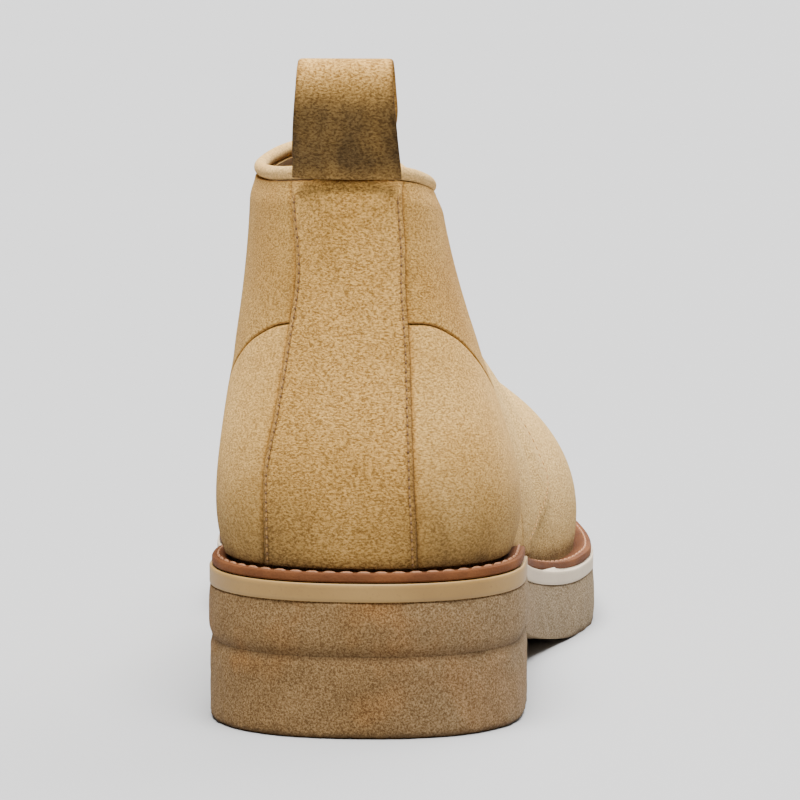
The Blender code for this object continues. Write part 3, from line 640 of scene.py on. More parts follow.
def sweep(points, radii, sides, up=UP):
    """Points and faces of a bar along a line, with closed ends."""
    points = np.asarray(points, dtype=float)
    count = len(points)
    radii = np.broadcast_to(radii, (count,))
    along = unit(np.gradient(points, axis=0))
    sideways = unit(np.cross(along, np.broadcast_to(np.asarray(up, dtype=float), points.shape)))
    raised = np.cross(sideways, along)
    angles = np.linspace(0, 2 * math.pi, sides, endpoint=False)
    ring = (np.cos(angles)[None, :, None] * sideways[:, None, :]
            + np.sin(angles)[None, :, None] * raised[:, None, :])
    all_points = (points[:, None, :] + ring * radii[:, None, None]).reshape(-1, 3)
    faces = grid_faces(count, sides, closed=True)
    faces += [tuple(range(sides)), tuple((count - 1) * sides + i for i in range(sides))[::-1]]
    return all_points, faces


def resample(points, outs, pitch, offset=0.5):
    """Places at an even pitch along a line: the points, the directions along it, and those out of it."""
    reach = np.concatenate([[0.0], np.cumsum(np.linalg.norm(np.diff(points, axis=0), axis=-1))])

    def read_at(places, values):
        return np.stack([np.interp(places, reach, values[:, k]) for k in range(3)], axis=-1)

    number = max(int(reach[-1] / pitch), 1)
    places = (np.arange(number) + offset) * reach[-1] / number
    ahead = np.minimum(places + pitch * 0.2, reach[-1])
    behind = np.maximum(places - pitch * 0.2, 0.0)
    along = unit(read_at(ahead, points) - read_at(behind, points))
    return read_at(places, points), along, unit(read_at(places, outs))


STITCH_SIDES = 6
STITCH_RINGS = (
    (-1.0, 0.0, -0.6), (-0.86, 0.62, -0.25), (-0.4, 1.0, 0.0),
    (0.4, 1.0, 0.0), (0.86, 0.62, -0.25), (1.0, 0.0, -0.6),
)


def stitch_mesh(spots, along, out, length, radius):
    """Small bowed threads at many spots, joined in one mesh."""
    side = unit(np.cross(along, out))
    points = []
    faces = []
    for spot, ahead, beside, raised in zip(spots, along, side, out):
        base = len(points)
        for place, width, sink in STITCH_RINGS:
            centre = spot + ahead * place * length / 2 + raised * sink * radius
            for k in range(STITCH_SIDES):
                angle = 2 * math.pi * k / STITCH_SIDES
                points.append(centre + (beside * math.cos(angle) + raised * math.sin(angle)) * radius * width)
        for r in range(len(STITCH_RINGS) - 1):
            for k in range(STITCH_SIDES):
                d = (k + 1) % STITCH_SIDES
                low = base + r * STITCH_SIDES
                faces.append((low + k, low + d, low + STITCH_SIDES + d, low + STITCH_SIDES + k))
    return points, faces


# Materials


class Nodes:
    """A short way to write a material's nodes. Each method gives the output of the node that it adds."""

    def __init__(self, name, roughness, metallic=0.0, gloss=None):
        self.material = bpy.data.materials.new(name)
        self.material.use_nodes = True
        self.tree = self.material.node_tree
        self.shader = self.tree.nodes["Principled BSDF"]
        self.fill(self.shader, {"Roughness": roughness, "Metallic": metallic, "Specular IOR Level": gloss})
        self.place = self.add("TexCoord", "Object", {})

    def fill(self, node, inputs):
        """Links outputs to sockets and sets the rest."""
        for socket, value in inputs.items():
            if isinstance(value, bpy.types.NodeSocket):
                self.tree.links.new(value, node.inputs[socket])
            elif value is not None:
                node.inputs[socket].default_value = value

    def add(self, kind, output, inputs, **settings):
        node = self.tree.nodes.new(f"ShaderNode{kind}")
        for word, value in settings.items():
            setattr(node, word, value)
        self.fill(node, inputs)
        return node.outputs[output]

    def stretched(self, scale):
        """The object's place with its axes scaled, so that a pattern can run longer one way."""
        return self.add("Mapping", "Vector", {"Scale": scale, "Vector": self.place})

    def noise(self, size, detail=3.0, roughness=0.5, scale=(1.0, 1.0, 1.0), distortion=0.0):
        """Noise whose features are about size metres across."""
        return self.add("TexNoise", "Fac", {"Scale": 1.0 / size, "Detail": detail, "Roughness": roughness,
                                            "Distortion": distortion, "Vector": self.stretched(scale)})

    def clouds(self, fac, low, high, first, second):
        """One colour going over into another between two values of an output."""
        return self.mix(self.span(fac, low, high), first, second)

    def cells(self, size, scale=(1.0, 1.0, 1.0)):
        """Distance to the nearest cell's middle, for grains about size metres across."""
        return self.add("TexVoronoi", "Distance", {"Scale": 1.0 / size, "Vector": self.stretched(scale)})

    def span(self, source, low, high, to_low=0.0, to_high=1.0):
        """Maps a value's span onto another."""
        return self.add("MapRange", "Result", {"From Min": low, "From Max": high, "To Min": to_low,
                                               "To Max": to_high, "Value": source})

    def math(self, operation, first, second):
        return self.add("Math", "Value", {0: first, 1: second}, operation=operation)

    def mix(self, factor, first, second, blend="MIX"):
        """Mixes two colours. Each is a colour of three values or an output."""
        first, second = ((*value, 1.0) if isinstance(value, tuple) else value for value in (first, second))
        return self.add("Mix", 2, {"Factor": factor, 6: first, 7: second}, data_type="RGBA", blend_type=blend)

    def attribute(self, name):
        return self.add("Attribute", "Fac", {}, attribute_name=name)

    def axis(self, letter):
        """One coordinate of the object's place, in metres."""
        return self.add("SeparateXYZ", letter, {"Vector": self.place})

    def bump(self, height, distance, strength=1.0, before=None):
        """A bump whose full height is distance metres."""
        return self.add("Bump", "Normal", {"Strength": strength, "Distance": distance, "Height": height,
                                           "Normal": before})

    def finish(self, colour=None, roughness=None, normal=None):
        self.fill(self.shader, {"Base Color": colour, "Roughness": roughness, "Normal": normal})
        return self.material


def suede_material(name, light, dark, grain=1.0, edge_dark=0.75, pale_and_lit_front=0.0):
    """Napped suede: clouds where the nap lies another way, short wriggles of fibre, darker cut edges, and
    painted shade where a point attribute asks for it.

    The last argument is how much paler the suede is made towards the vamp than at the heel: partly the
    vamp's own paler tone, partly painted light where the vamp faces up to the lamps.
    """
    nodes = Nodes(name, 0.9, gloss=0.08)
    sheen = {"Sheen Weight": 0.06, "Sheen Roughness": 0.6, "Sheen Tint": (1.0, 0.86, 0.60, 1.0)}
    nodes.fill(nodes.shader, sheen)
    clouds = nodes.noise(0.024, 4.0, 0.6)
    colour = nodes.clouds(clouds, 0.36, 0.64, dark, light)
    patches = nodes.noise(0.008, 3.0, 0.6, (1.0, 1.0, 0.5))
    warm = (light[0], light[1] * 0.88, light[2] * 0.68)
    colour = nodes.mix(nodes.span(patches, 0.45, 0.75, 0.0, 0.2), colour, warm)
    # Paler towards the vamp: partly the suede's own tone, partly painted light where it faces up to the lamps
    towards_toe = nodes.span(nodes.axis("Y"), 0.0, 0.10, 0.0, pale_and_lit_front)
    colour = nodes.mix(towards_toe, colour, (0.74, 0.48, 0.175))
    wriggles = nodes.noise(0.00075, 3.0, 0.68, (1.0, 1.0, 1.6), 0.3)
    grains = nodes.clouds(wriggles, 0.38, 0.62, (0.42, 0.36, 0.29), (1.36, 1.41, 1.48))
    colour = nodes.mix(min(0.6 * grain, 1.0), colour, grains, "MULTIPLY")
    cut = (edge_dark, edge_dark * 0.88, edge_dark * 0.74)
    edges = nodes.mix(nodes.span(nodes.attribute("shade"), 0.0, 0.9), cut, (1.0, 1.0, 1.0))
    colour = nodes.mix(1.0, colour, edges, "MULTIPLY")
    # Painted shade where the point attribute asks for it, a little uneven
    shade_amount = nodes.math("MULTIPLY", nodes.attribute("painted_shade"), nodes.span(patches, 0.3, 0.7, 0.8, 1.1))
    shade_tint = nodes.mix(shade_amount, (1.0, 1.0, 1.0), (0.17, 0.18, 0.26))
    colour = nodes.mix(1.0, colour, shade_tint, "MULTIPLY")
    fine = nodes.noise(0.0004, 2.0, 0.6)
    normal = nodes.bump(wriggles, 0.0005 * grain, 0.7)
    normal = nodes.bump(fine, 0.00012, 0.5, normal)
    roughness = nodes.span(wriggles, 0.3, 0.7, 0.96, 0.82)
    return nodes.finish(colour, roughness, normal)


def smooth_leather(name, light, dark, roughness=0.5, grain_size=0.0009, depth=0.00008, gloss=0.35):
    """Smooth leather with fine pores and soft clouds of colour."""
    nodes = Nodes(name, roughness, gloss=gloss)
    clouds = nodes.noise(0.012, 4.0, 0.6)
    colour = nodes.clouds(clouds, 0.35, 0.65, dark, light)
    pores = nodes.cells(grain_size)
    fine = nodes.noise(grain_size * 0.6, 3.0, 0.6)
    colour = nodes.mix(nodes.span(fine, 0.35, 0.7, 0.0, 0.18), colour, dark)
    normal = nodes.bump(pores, depth, 0.6)
    normal = nodes.bump(fine, depth, 0.5, normal)
    return nodes.finish(colour, nodes.span(clouds, 0.3, 0.7, roughness - 0.06, roughness + 0.08), normal)


def crepe_material(name):
    """Crepe rubber: a dense sandy speckle over brown, greyer towards the toe and the outer side."""
    nodes = Nodes(name, 0.85, gloss=0.2)
    pale = (0.205, 0.122, 0.048)
    brown = (0.168, 0.092, 0.031)
    stained = (0.225, 0.104, 0.027)
    outer_toe_tone = (0.250, 0.180, 0.100)
    colour = nodes.mix(nodes.span(nodes.noise(0.045, 3.0, 0.5), 0.35, 0.65), pale, brown)
    patches = nodes.noise(0.024, 3.0, 0.55)
    colour = nodes.mix(nodes.span(patches, 0.52, 0.66, 0.0, 0.75), colour, stained)
    # Paler and greyer towards the outer side and the toe
    outer_side = nodes.span(nodes.axis("X"), 0.0, 0.045, 0.0, 0.6)
    towards_toe = nodes.span(nodes.axis("Y"), 0.02, 0.12, 0.0, 0.6)
    colour = nodes.mix(nodes.math("ADD", outer_side, towards_toe), colour, outer_toe_tone)
    crumbs = nodes.noise(0.00048, 2.0, 0.8)
    sand = nodes.clouds(crumbs, 0.40, 0.64, (0.55, 0.48, 0.40), (1.65, 1.75, 1.95))
    colour = nodes.mix(0.9, colour, sand, "MULTIPLY")
    # Painted shade where the point attribute asks for it: in the joint of heel and runner, faintly near the
    # floor, and in a band along the lower edge
    colour = nodes.mix(nodes.math("MULTIPLY", nodes.attribute("painted_shade"), 0.8), colour, (0.055, 0.027, 0.010))
    normal = nodes.bump(crumbs, 0.0004, 0.6)
    return nodes.finish(colour, nodes.span(crumbs, 0.4, 0.7, 0.92, 0.75), normal)


def cream_material(name):
    """The cream strip: nearly even, a little satin, darker and browner at the heel."""
    nodes = Nodes(name, 0.55)
    clouds = nodes.noise(0.02, 3.0, 0.5)
    # Darker and browner at the heel, paler towards the toe
    darker_end = nodes.clouds(clouds, 0.35, 0.65, (0.28, 0.158, 0.042), (0.34, 0.20, 0.058))
    front_tone = nodes.clouds(clouds, 0.35, 0.65, (0.50, 0.40, 0.28), (0.58, 0.48, 0.35))
    colour = nodes.mix(nodes.span(nodes.axis("Y"), 0.0, 0.10), darker_end, front_tone)
    specks = nodes.noise(0.0008, 2.0, 0.6)
    colour = nodes.mix(nodes.span(specks, 0.60, 0.75, 0.0, 0.4), colour, (0.20, 0.11, 0.04))
    normal = nodes.bump(specks, 0.00008, 0.5)
    return nodes.finish(colour, nodes.span(clouds, 0.3, 0.7, 0.5, 0.64), normal)


def thread_material(name, light, dark):
    """Waxed thread with a fine twist."""
    nodes = Nodes(name, 0.7)
    twist = nodes.noise(0.0004, 2.0, 0.5)
    colour = nodes.clouds(twist, 0.35, 0.65, dark, light)
    return nodes.finish(colour, nodes.span(twist, 0.3, 0.7, 0.6, 0.8), nodes.bump(twist, 0.0001, 0.6))


def cord_material(name, light, dark):
    """A woven cord: small crossing plaits, each a little raised, with fuzz between them."""
    nodes = Nodes(name, 0.85, gloss=0.2)
    plaits = nodes.cells(0.00085, (0.75, 1.0, 1.0))
    fuzz = nodes.noise(0.0003, 2.0, 0.6)
    colour = nodes.clouds(plaits, 0.15, 0.55, light, dark)
    colour = nodes.mix(nodes.span(fuzz, 0.4, 0.7, 0.0, 0.3), colour, dark)
    normal = nodes.bump(nodes.span(plaits, 0.0, 0.6, 1.0, 0.0), 0.00022, 0.8)
    normal = nodes.bump(fuzz, 0.00006, 0.5, normal)
    return nodes.finish(colour, nodes.span(fuzz, 0.3, 0.7, 0.92, 0.8), normal)


def metal_material(name):
    """Darkened brass with rubbed highs."""
    nodes = Nodes(name, 0.38, 1.0)
    rubbed = nodes.noise(0.0015, 4.0, 0.6)
    colour = nodes.clouds(rubbed, 0.4, 0.65, (0.22, 0.125, 0.045), (0.48, 0.31, 0.13))
    return nodes.finish(colour, nodes.span(rubbed, 0.3, 0.7, 0.32, 0.5), nodes.bump(rubbed, 0.00003, 0.5))


def floor_material(name):
    """The plain pale floor."""
    nodes = Nodes(name, 0.9)
    soft = nodes.noise(0.4, 2.0, 0.5)
    colour = nodes.mix(soft, (0.385, 0.385, 0.387), (0.395, 0.395, 0.397))
    return nodes.finish(colour)


# The pieces


def make_upper(suede, lining):
    """The hollow upper: suede outside and lining inside, closed over its top edge and under its foot."""
    u = -1.0 + np.arange(2 * SIDE_COLUMNS) / SIDE_COLUMNS
    v = np.concatenate([[0.0, 0.006, 0.014], np.linspace(0.025, 1.0, RIB_ROWS)])
    u, v = np.meshgrid(u, v)
    outer = surface(u, v)
    sunk = UP * (WELT_THICKNESS + GAP)
    rows = len(v) + 1
    columns = u.shape[1]
    outside = np.concatenate([outer[:1] - sunk, outer])
    inner_top = surface(u, v, -WALL)
    inside = np.concatenate([inner_top[:1] - sunk, inner_top])
    points = np.concatenate([outside.reshape(-1, 3), inside.reshape(-1, 3)])
    count = rows * columns
    faces = grid_faces(rows, columns, closed=True)
    outside_faces = len(faces)
    faces += [tuple(count + i for i in face[::-1]) for face in faces]
    foot_of_end = FEET[(np.arange(columns) * TURNS // SIDE_COLUMNS) % len(FEET)]
    last = (rows - 1) * columns
    for c in range(columns):
        d = (c + 1) % columns
        faces.append((c, count + c, count + d, d))
        if max(foot_of_end[c], foot_of_end[d]) < SECTIONS[6].foot:
            faces.append((last + c, last + d, count + last + d, count + last + c))
    indices = [0] * outside_faces + [1] * outside_faces + [0] * (len(faces) - 2 * outside_faces)
    shade = np.ones(len(points))
    # Painted shade low on the wall, above the welt
    painted_shade = np.tile(np.concatenate([foot_painted_shade(u[:1], v[:1]), foot_painted_shade(u, v)]).ravel(), 2)
    return make_piece("upper_wall", points, faces, [suede, lining], "upper", indices, shade, painted_shade)


def front_of_counter(side):
    """The turn where the counter's top edge comes down to the welt."""
    def above(turn):
        point = plain_surface(side * turn, np.full(np.shape(turn), 0.02))
        place = y_to_place(point[..., 1])
        edge_height = COLLAR_HEIGHT * read(COUNTER_EDGE, "height", place)
        return point[..., 2] - edge_height

    return side * solve(above, np.array([0.25]), np.array([0.6]))[0]


def panel_grid(side, rows, columns, front, spare=0.0, over_counter=False):
    """Turns and shares of a panel from the backstay's edge to its front, under or over the counter's edge.

    front gives turns at EDGE_ROWS even shares, and spare is the seam left above the counter's edge.
    """
    shares = np.linspace(0.0, 1.0, EDGE_ROWS)
    back = strip_turn(shares, side)
    s = eased(columns)

    def turn_at(v):
        low = np.interp(v, shares, back)
        return low + s * (np.interp(v, shares, front) - low)

    crossing = counter_share(turn_at, len(s), spare)
    if over_counter:
        low, high = np.clip(crossing, PANEL_FOOT, 1.0), 1.0
    else:
        low, high = PANEL_FOOT, np.maximum(crossing, PANEL_FOOT + 0.004)
    v = low + eased(rows)[:, None] * (high - low)
    return turn_at(v), v


def counter_grid(side):
    """The counter half: to the turn where its top edge meets the welt."""
    return panel_grid(side, 60, 90, np.full(EDGE_ROWS, front_of_counter(side)))


def quarter_grid(side):
    """The quarter: over the counter, to its own front edge."""
    front = front_turn(np.linspace(0.0, 1.0, EDGE_ROWS), side)
    return panel_grid(side, 90, 110, front, COUNTER_SEAM, True)


def make_panels(suede, lit_heel_suede, grained):
    """The backstay, the counter halves and the quarters."""
    v = PANEL_FOOT + eased(90) * (1.0 - PANEL_FOOT)
    left = strip_turn(v, MEDIAL)
    right = strip_turn(v, LATERAL)
    s = eased(44, (0.0, 0.012, 0.028, 0.05, 0.08))
    u = left[:, None] + s[None, :] * (right - left)[:, None]
    panel("back_strip", u, np.repeat(v[:, None], len(s), axis=1), BACKSTAY_THICKNESS, [grained], "backstay")
    for word, side in SIDES:
        panel(f"heel_panel_{word}", *counter_grid(side), PANEL, [lit_heel_suede], f"counter_{word}")
        panel(f"side_panel_{word}", *quarter_grid(side), PANEL, [suede], f"quarter_{word}")


def stitch_line(u, v, lift):
    """A line on the upper with the direction out of it at each of its points."""
    return surface(u, v, lift), directions(u, v)


def stitches(name, lines, pitch, length, radius, thread, offset=0.5):
    """Rows of stitches along lines on the upper, as one mesh."""
    points = []
    faces = []
    for line, out in lines:
        more, more_faces = stitch_mesh(*resample(line, out, pitch, offset), length, radius)
        base = len(points)
        points += more
        faces += [tuple(base + i for i in face) for face in more_faces]
    return make_piece(name, points, faces, [thread])


def make_seams(thread, hole):
    """Stitch rows on the backstay, with dark beads as painted shade in their needle holes, and one row on
    each quarter's front edge.
    """
    v = np.linspace(0.03, 0.97, 140)
    strip = []
    for side in (MEDIAL, LATERAL):
        strip.append(stitch_line(strip_turn(v, side, -STITCH_INSET), v, 2 * GAP + BACKSTAY_THICKNESS))
    stitches("strip_stitches", strip, STRIP_PITCH, STITCH_LENGTH, 0.00024, thread)
    # Dark beads between the stitches: painted shade in the needle holes
    stitches("strip_hole_shade", strip, STRIP_PITCH, 0.0007, 0.0003, hole, 0.0)
    lines = []
    for side in (MEDIAL, LATERAL):
        u, v = quarter_grid(side)
        lines.append(stitch_line(u[6:-8, -6], v[6:-8, -6], 2 * GAP + PANEL))
    stitches("panel_stitches", lines, 0.0022, STITCH_LENGTH, 0.00014, thread)


def make_rim(leather):
    """The rolled edge of the collar: a soft bead that closes over wall and lining."""
    last = SECTIONS[4].foot
    u = np.linspace(-1.0, 1.0, 2 * TURNS + 1)
    u = u[foot_at(u) < last]
    near_end = np.minimum(np.arange(len(u)), np.arange(len(u))[::-1]) / RIM_TAPER
    radii = RIM_WIDTH / 2 * np.sqrt(np.clip(1.0 - (1.0 - np.clip(near_end, 0.02, 1.0)) ** 2, 0.0, 1.0))
    lift = np.outer(radii + RIM_CLEARANCE * 0.4, UP)
    points, faces = sweep(plain_surface(u, np.ones(len(u))) + lift, radii, 18)
    shade = np.ones(len(points))
    return make_piece("collar_bead", points, faces, [leather], "collar_rim", shade=shade)


def collar_spot(x):
    """The collar's back edge at sideways places x, and the directions out of it, seen from above."""
    middle = top_point(np.array([0.0]), LATERAL)[0, 0]
    side = np.where(x >= middle, LATERAL, MEDIAL)

    def beyond(foot):
        return side * (top_point(foot, side)[..., 0] - x)

    foot = solve(beyond, np.zeros(x.shape), np.full(x.shape, SECTIONS[2].foot))
    here = top_point(foot, side)
    along = top_point(foot + 0.004, side) - top_point(np.maximum(foot - 0.004, 0.0), side)
    outward = unit(np.stack([along[..., 1], -along[..., 0], 0 * along[..., 0]], axis=-1) * side[..., None])
    outward = np.where(outward[..., 1:2] > 0, -outward, outward)
    return here - outward * COLLAR_ROLL, outward


def make_loop(grained):
    """The folded pull strap, as a closed slab with rounded edges."""
    middle = top_point(np.array([0.0]), LATERAL)[0, 0] + LOOP_SHIFT
    heights, outs, widths = catmull(np.array(LOOP_PATH), 110).T
    outs = outs * LOOP_THICKNESS
    s = 2 * eased(26, (0.0, 0.012, 0.03, 0.055, 0.09)) - 1
    x = middle + s[None, :] * LOOP_WIDTH / 2 * widths[:, None]
    edge_here, outward = collar_spot(x)
    flat = smooth(heights / LOOP_STRAIGHT)[:, None]
    straight_y = collar_spot(np.array([middle]))[0][0, 1] - outs[:, None]
    outer_leg = (outs > 0)[:, None]
    curved_x = np.where(outer_leg, x, edge_here[..., 0] + outward[..., 0] * outs[:, None])
    curved_y = np.where(outer_leg, edge_here[..., 1] + outs[:, None] / outward[..., 1],
                        edge_here[..., 1] + outward[..., 1] * outs[:, None])
    px = curved_x + (x - curved_x) * flat
    py = curved_y + (straight_y - curved_y) * flat
    pz = COLLAR_HEIGHT + heights[:, None] * LOOP_HEIGHT + 0 * x
    sheet = np.stack([px, py, pz], axis=-1)
    columns = x.shape[1]
    out = unit(np.cross(np.gradient(sheet, axis=1), np.gradient(sheet, axis=0)))
    distance = np.minimum(np.arange(columns), np.arange(columns)[::-1])[None, :] + 0 * x
    half = LOOP_THICKNESS / 2 * EDGE_ROUND[np.minimum(distance, LAST_ROUND).astype(int)]
    points, faces = slab(sheet - out * half[..., None], sheet + out * half[..., None])
    shade = np.tile(shade_at(distance), 2)
    # Painted shade on the outer leg below the loop's overhanging top, a little less at the base
    lighter_base = 1.0 - 0.3 * smooth((0.2 - heights) / 0.25)
    darker_end = LOOP_PAINTED_SHADE * smooth((0.95 - heights) / 0.4) * lighter_base * (outs > 0)
    painted_shade = np.tile((darker_end[:, None] + 0 * x).ravel(), 2)
    return make_piece("pull_strap", points, faces, [grained], "pull_loop", shade=shade, painted_shade=painted_shade)


def catmull(values, count):
    """A smooth curve of count points through the rows of values."""
    at = np.linspace(0.0, len(values) - 1.0, count)
    i = np.clip(np.floor(at).astype(int), 0, len(values) - 2)
    t = (at - i)[:, None]
    before = values[np.maximum(i - 1, 0)]
    after = values[np.minimum(i + 2, len(values) - 1)]
    here = values[i]
    there = values[i + 1]
    return 0.5 * (2 * here + (there - before) * t + (2 * before - 5 * here + 4 * there - after) * t ** 2
                  + (3 * here - before - 3 * there + after) * t ** 3)


def wobble(points, size, depth, seed):
    """A small irregular offset for each point, from sines that don't line up."""
    x, y, z = np.moveaxis(points / size, -1, 0)
    return depth * (np.sin(1.7 * x + 2.3 * y + seed) * np.sin(1.9 * z + 1.3 * y + 2 * seed)
                    + 0.6 * np.sin(4.1 * x - 3.7 * y + 3 * seed) * np.sin(3.3 * z + 2.9 * x))


def make_layer(name, material, node, bottom, top, lips, last_turn=1.0, rough=0.0, bulge=0.0,
               crumble=0.0, columns=260, rows=14, joint=False):
    """A layer of the sole: its side in many rows with rounded corners, its top and bottom closed.

    lips are the roundings of the lower and upper corner, rough is how uneven the side is, bulge how far it
    swells at mid-height, crumble how uneven the lower corner is, and joint presses in the groove of heel and
    runner and paints shade there, faintly near the floor and in a band along the lower edge.
    """
    if last_turn == 1.0:
        u = -1.0 + np.arange(2 * columns) / columns
    else:
        u = np.linspace(-last_turn, last_turn, 2 * columns)
    corner = np.array([[1.0, 0.0], [0.75, 0.08], [0.4, 0.4]])
    middle = np.linspace(0.0, 1.0, rows)
    low_lip, high_lip = lips
    side = at_height(-edge_frame(u), np.zeros(len(u)))[None]
    levels = []
    for inward, up in corner:
        line = edge(u, low_lip * inward)
        levels.append(at_height(line, bottom(line[:, 1]) + low_lip * up))
    for share in middle:
        line = edge(u, -bulge * math.sin(math.pi * share))
        low = bottom(line[:, 1]) + low_lip
        high = top(line[:, 1]) - high_lip
        levels.append(at_height(line, low + (high - low) * share))
    for inward, up in corner[::-1]:
        line = edge(u, high_lip * inward)
        levels.append(at_height(line, top(line[:, 1]) - high_lip * up))
    points = np.array(levels)
    if rough:
        points = points + side * (wobble(points, 0.006, rough, 1.0) - 1.2 * rough)[..., None]
    if crumble:
        near = np.exp(-np.arange(len(points)) / 3.0)[:, None]
        broken = np.abs(wobble(points * np.array([1.0, 1.0, 0.2]), 0.0026, crumble, 4.0))
        points = points - side * (near * broken)[..., None]
    painted_shade = None
    if joint:
        at_heel = smooth((HEEL_LENGTH - HEEL_BACK - points[..., 1]) / JOINT_REACH + 2.0)
        near = np.exp(-((points[..., 2] - tread_height(points[..., 1])) / JOINT_REACH) ** 2) * at_heel
        points = points - side * (near * JOINT_DEPTH)[..., None]
        # Painted shade: in the groove where heel and runner meet, faintly near the floor, and darkest in an
        # uneven band along the lower edge
        uneven = 1.0 + wobble(points * np.array([1.0, 1.0, 0.0]), 0.004, 0.35, 2.0)
        tread = 0.9 * np.exp(-(points[..., 2] / (TREAD_SHADE_HEIGHT * uneven)) ** 2)
        low = 0.15 * np.exp(-points[..., 2] / JOINT_REACH)
        painted_shade = np.clip(0.5 * near + low + tread, 0.0, 1.0).ravel()
    count = points.shape[1]
    faces = grid_faces(len(points), count, closed=True)
    base = (len(points) - 1) * count
    faces.append(tuple(range(count))[::-1])
    faces.append(tuple(base + i for i in range(count)))
    points = points.reshape(-1, 3)
    return make_piece(name, points, faces, [material], node, painted_shade=painted_shade, smooth_angle=40)


def make_sole(crepe, cream, brown, thread):
    """Crepe heel and runner, cream strip and stitched welt."""
    breast_place = HEEL_LENGTH / SOLE_LENGTH
    breast_turn = END_TURN + (0.5 - END_TURN) * (breast_place - END_PLACE) / (0.5 - END_PLACE)
    make_layer("heel_block", crepe, "heel", lambda y: 0.0 * y,
               lambda y: tread_height(y) - GAP * 0.4, (0.0011, 0.0001), breast_turn,
               rough=CREPE_ROUGH, crumble=0.0005, columns=180, rows=40, joint=True)
    make_layer("runner", crepe, "outsole",
               lambda y: tread_height(y) - GAP * 0.35 * (1.0 - forward(y)), runner_top, (0.0001, 0.0005),
               rough=CREPE_ROUGH, bulge=0.0004, rows=30, joint=True)
    make_layer("cream_strip", cream, "midsole", lambda y: runner_top(y) + GAP * 0.3, midsole_top,
               (0.0002, 0.0003), rows=6)
    make_welt(brown, thread)


def make_welt(brown, thread):
    """The welt: a ring with a rounded outer edge and a row of stitches near it."""
    u = -1.0 + np.arange(600) / 300
    profile = (
        (WELT_MARGIN + WALL, 0.0), (WELT_SETBACK + 0.0003, 0.0), (WELT_SETBACK, 0.0004),
        (WELT_SETBACK, WELT_THICKNESS - 0.0006), (WELT_SETBACK + 0.0002, WELT_THICKNESS - 0.0002),
        (WELT_SETBACK + 0.0006, WELT_THICKNESS), (0.0018, WELT_THICKNESS), (0.0022, WELT_THICKNESS - 0.0002),
        (0.0026, WELT_THICKNESS), (0.0034, WELT_THICKNESS - 0.0001), (0.0040, WELT_THICKNESS - 0.0005),
        (WELT_MARGIN + WALL, WELT_THICKNESS - 0.0009),
    )
    rings = []
    for inset, height in profile:
        line = edge(u, inset)
        rings.append(at_height(line, midsole_top(line[:, 1]) + GAP + height))
    points = np.array(rings)
    count = len(u)
    faces = grid_faces(len(profile), count, closed=True) + joined_ends(len(profile), count)
    make_piece("welt_ring", points.reshape(-1, 3), faces, [brown], "welt", smooth_angle=28)
    line = edge(u, WELT_ROW)
    row = at_height(line, midsole_top(line[:, 1]) + GAP + WELT_THICKNESS)
    row = np.concatenate([row, row[:1]])
    spots, along, up = resample(row, np.tile(UP, (len(row), 1)), WELT_PITCH)
    out = np.cross(along, np.cross(up, along))
    points, faces = stitch_mesh(spots, along, out, WELT_STITCH, WELT_STITCH_RADIUS)
    make_piece("welt_stitches", points, faces, [thread])


def make_tongue(suede):
    """The tongue under the laces: a padded strip with rounded edges."""
    feet = np.linspace(TONGUE_TOP, TONGUE_ROOT, 40)
    turns_by_foot = {side: foot_to_turn(feet, side) for side in (MEDIAL, LATERAL)}
    shares = 1.0 - TONGUE_OVERLAP * np.linspace(1.0, 0.0, 9)
    rows = []
    for k in range(len(feet)):
        medial = plain_surface(np.full(9, turns_by_foot[MEDIAL][k]), shares)
        lateral = plain_surface(np.full(9, turns_by_foot[LATERAL][k]), shares)[::-1]
        fill = medial[-1] + (lateral[0] - medial[-1]) * np.linspace(0, 1, 10)[1:-1, None]
        rows.append(np.concatenate([medial, fill, lateral]))
    up = unit(rows[0][13] - rows[8][13]) * TONGUE_RISE
    extra = [rows[0] + up * share for share in np.linspace(1.0, 0.0, 9)[:-1]]
    sheet = np.array(extra + rows)
    out = unit(np.cross(np.gradient(sheet, axis=1), np.gradient(sheet, axis=0)))
    if out[..., 2].mean() < 0:
        out = -out
    distance = border_distance(*sheet.shape[:2])
    swell = TONGUE_SWELL * np.sin(np.linspace(0, math.pi, sheet.shape[1]))[None, :]
    rounded = EDGE_ROUND[np.minimum(distance, LAST_ROUND)]
    middle = sheet - out * (WALL + TONGUE_CLEARANCE + TONGUE_THICKNESS / 2)
    half = TONGUE_THICKNESS / 2 * rounded
    points, faces = slab(middle + out * (half + swell)[..., None], middle - out * half[..., None])
    shade = np.tile(shade_at(distance), 2)
    make_piece("tongue_pad", points, faces, [suede], "tongue", shade=shade)


def foot_to_turn(feet, side):
    """Turns at which sections start at given shares of the welt line."""
    def beyond(turn):
        return foot_at(side * turn) - feet

    return side * solve(beyond, np.zeros(np.shape(feet)), np.ones(np.shape(feet)))


def eyelet_frames(side):
    """Spot, outward direction and direction across to the throat of each eyelet on one facing."""
    feet = np.linspace(EYELET_FIRST, EYELET_LAST, EYELET_PAIRS)
    u = foot_to_turn(feet, side)
    v = np.full(EYELET_PAIRS, 1.0 - EYELET_SHARE)
    spots = plain_surface(u, v)
    out = directions(u, v)
    ends = plain_surface(u, np.ones(EYELET_PAIRS))
    across = ends - spots
    across -= out * np.sum(across * out, axis=-1, keepdims=True)
    return spots, out, unit(across), ends


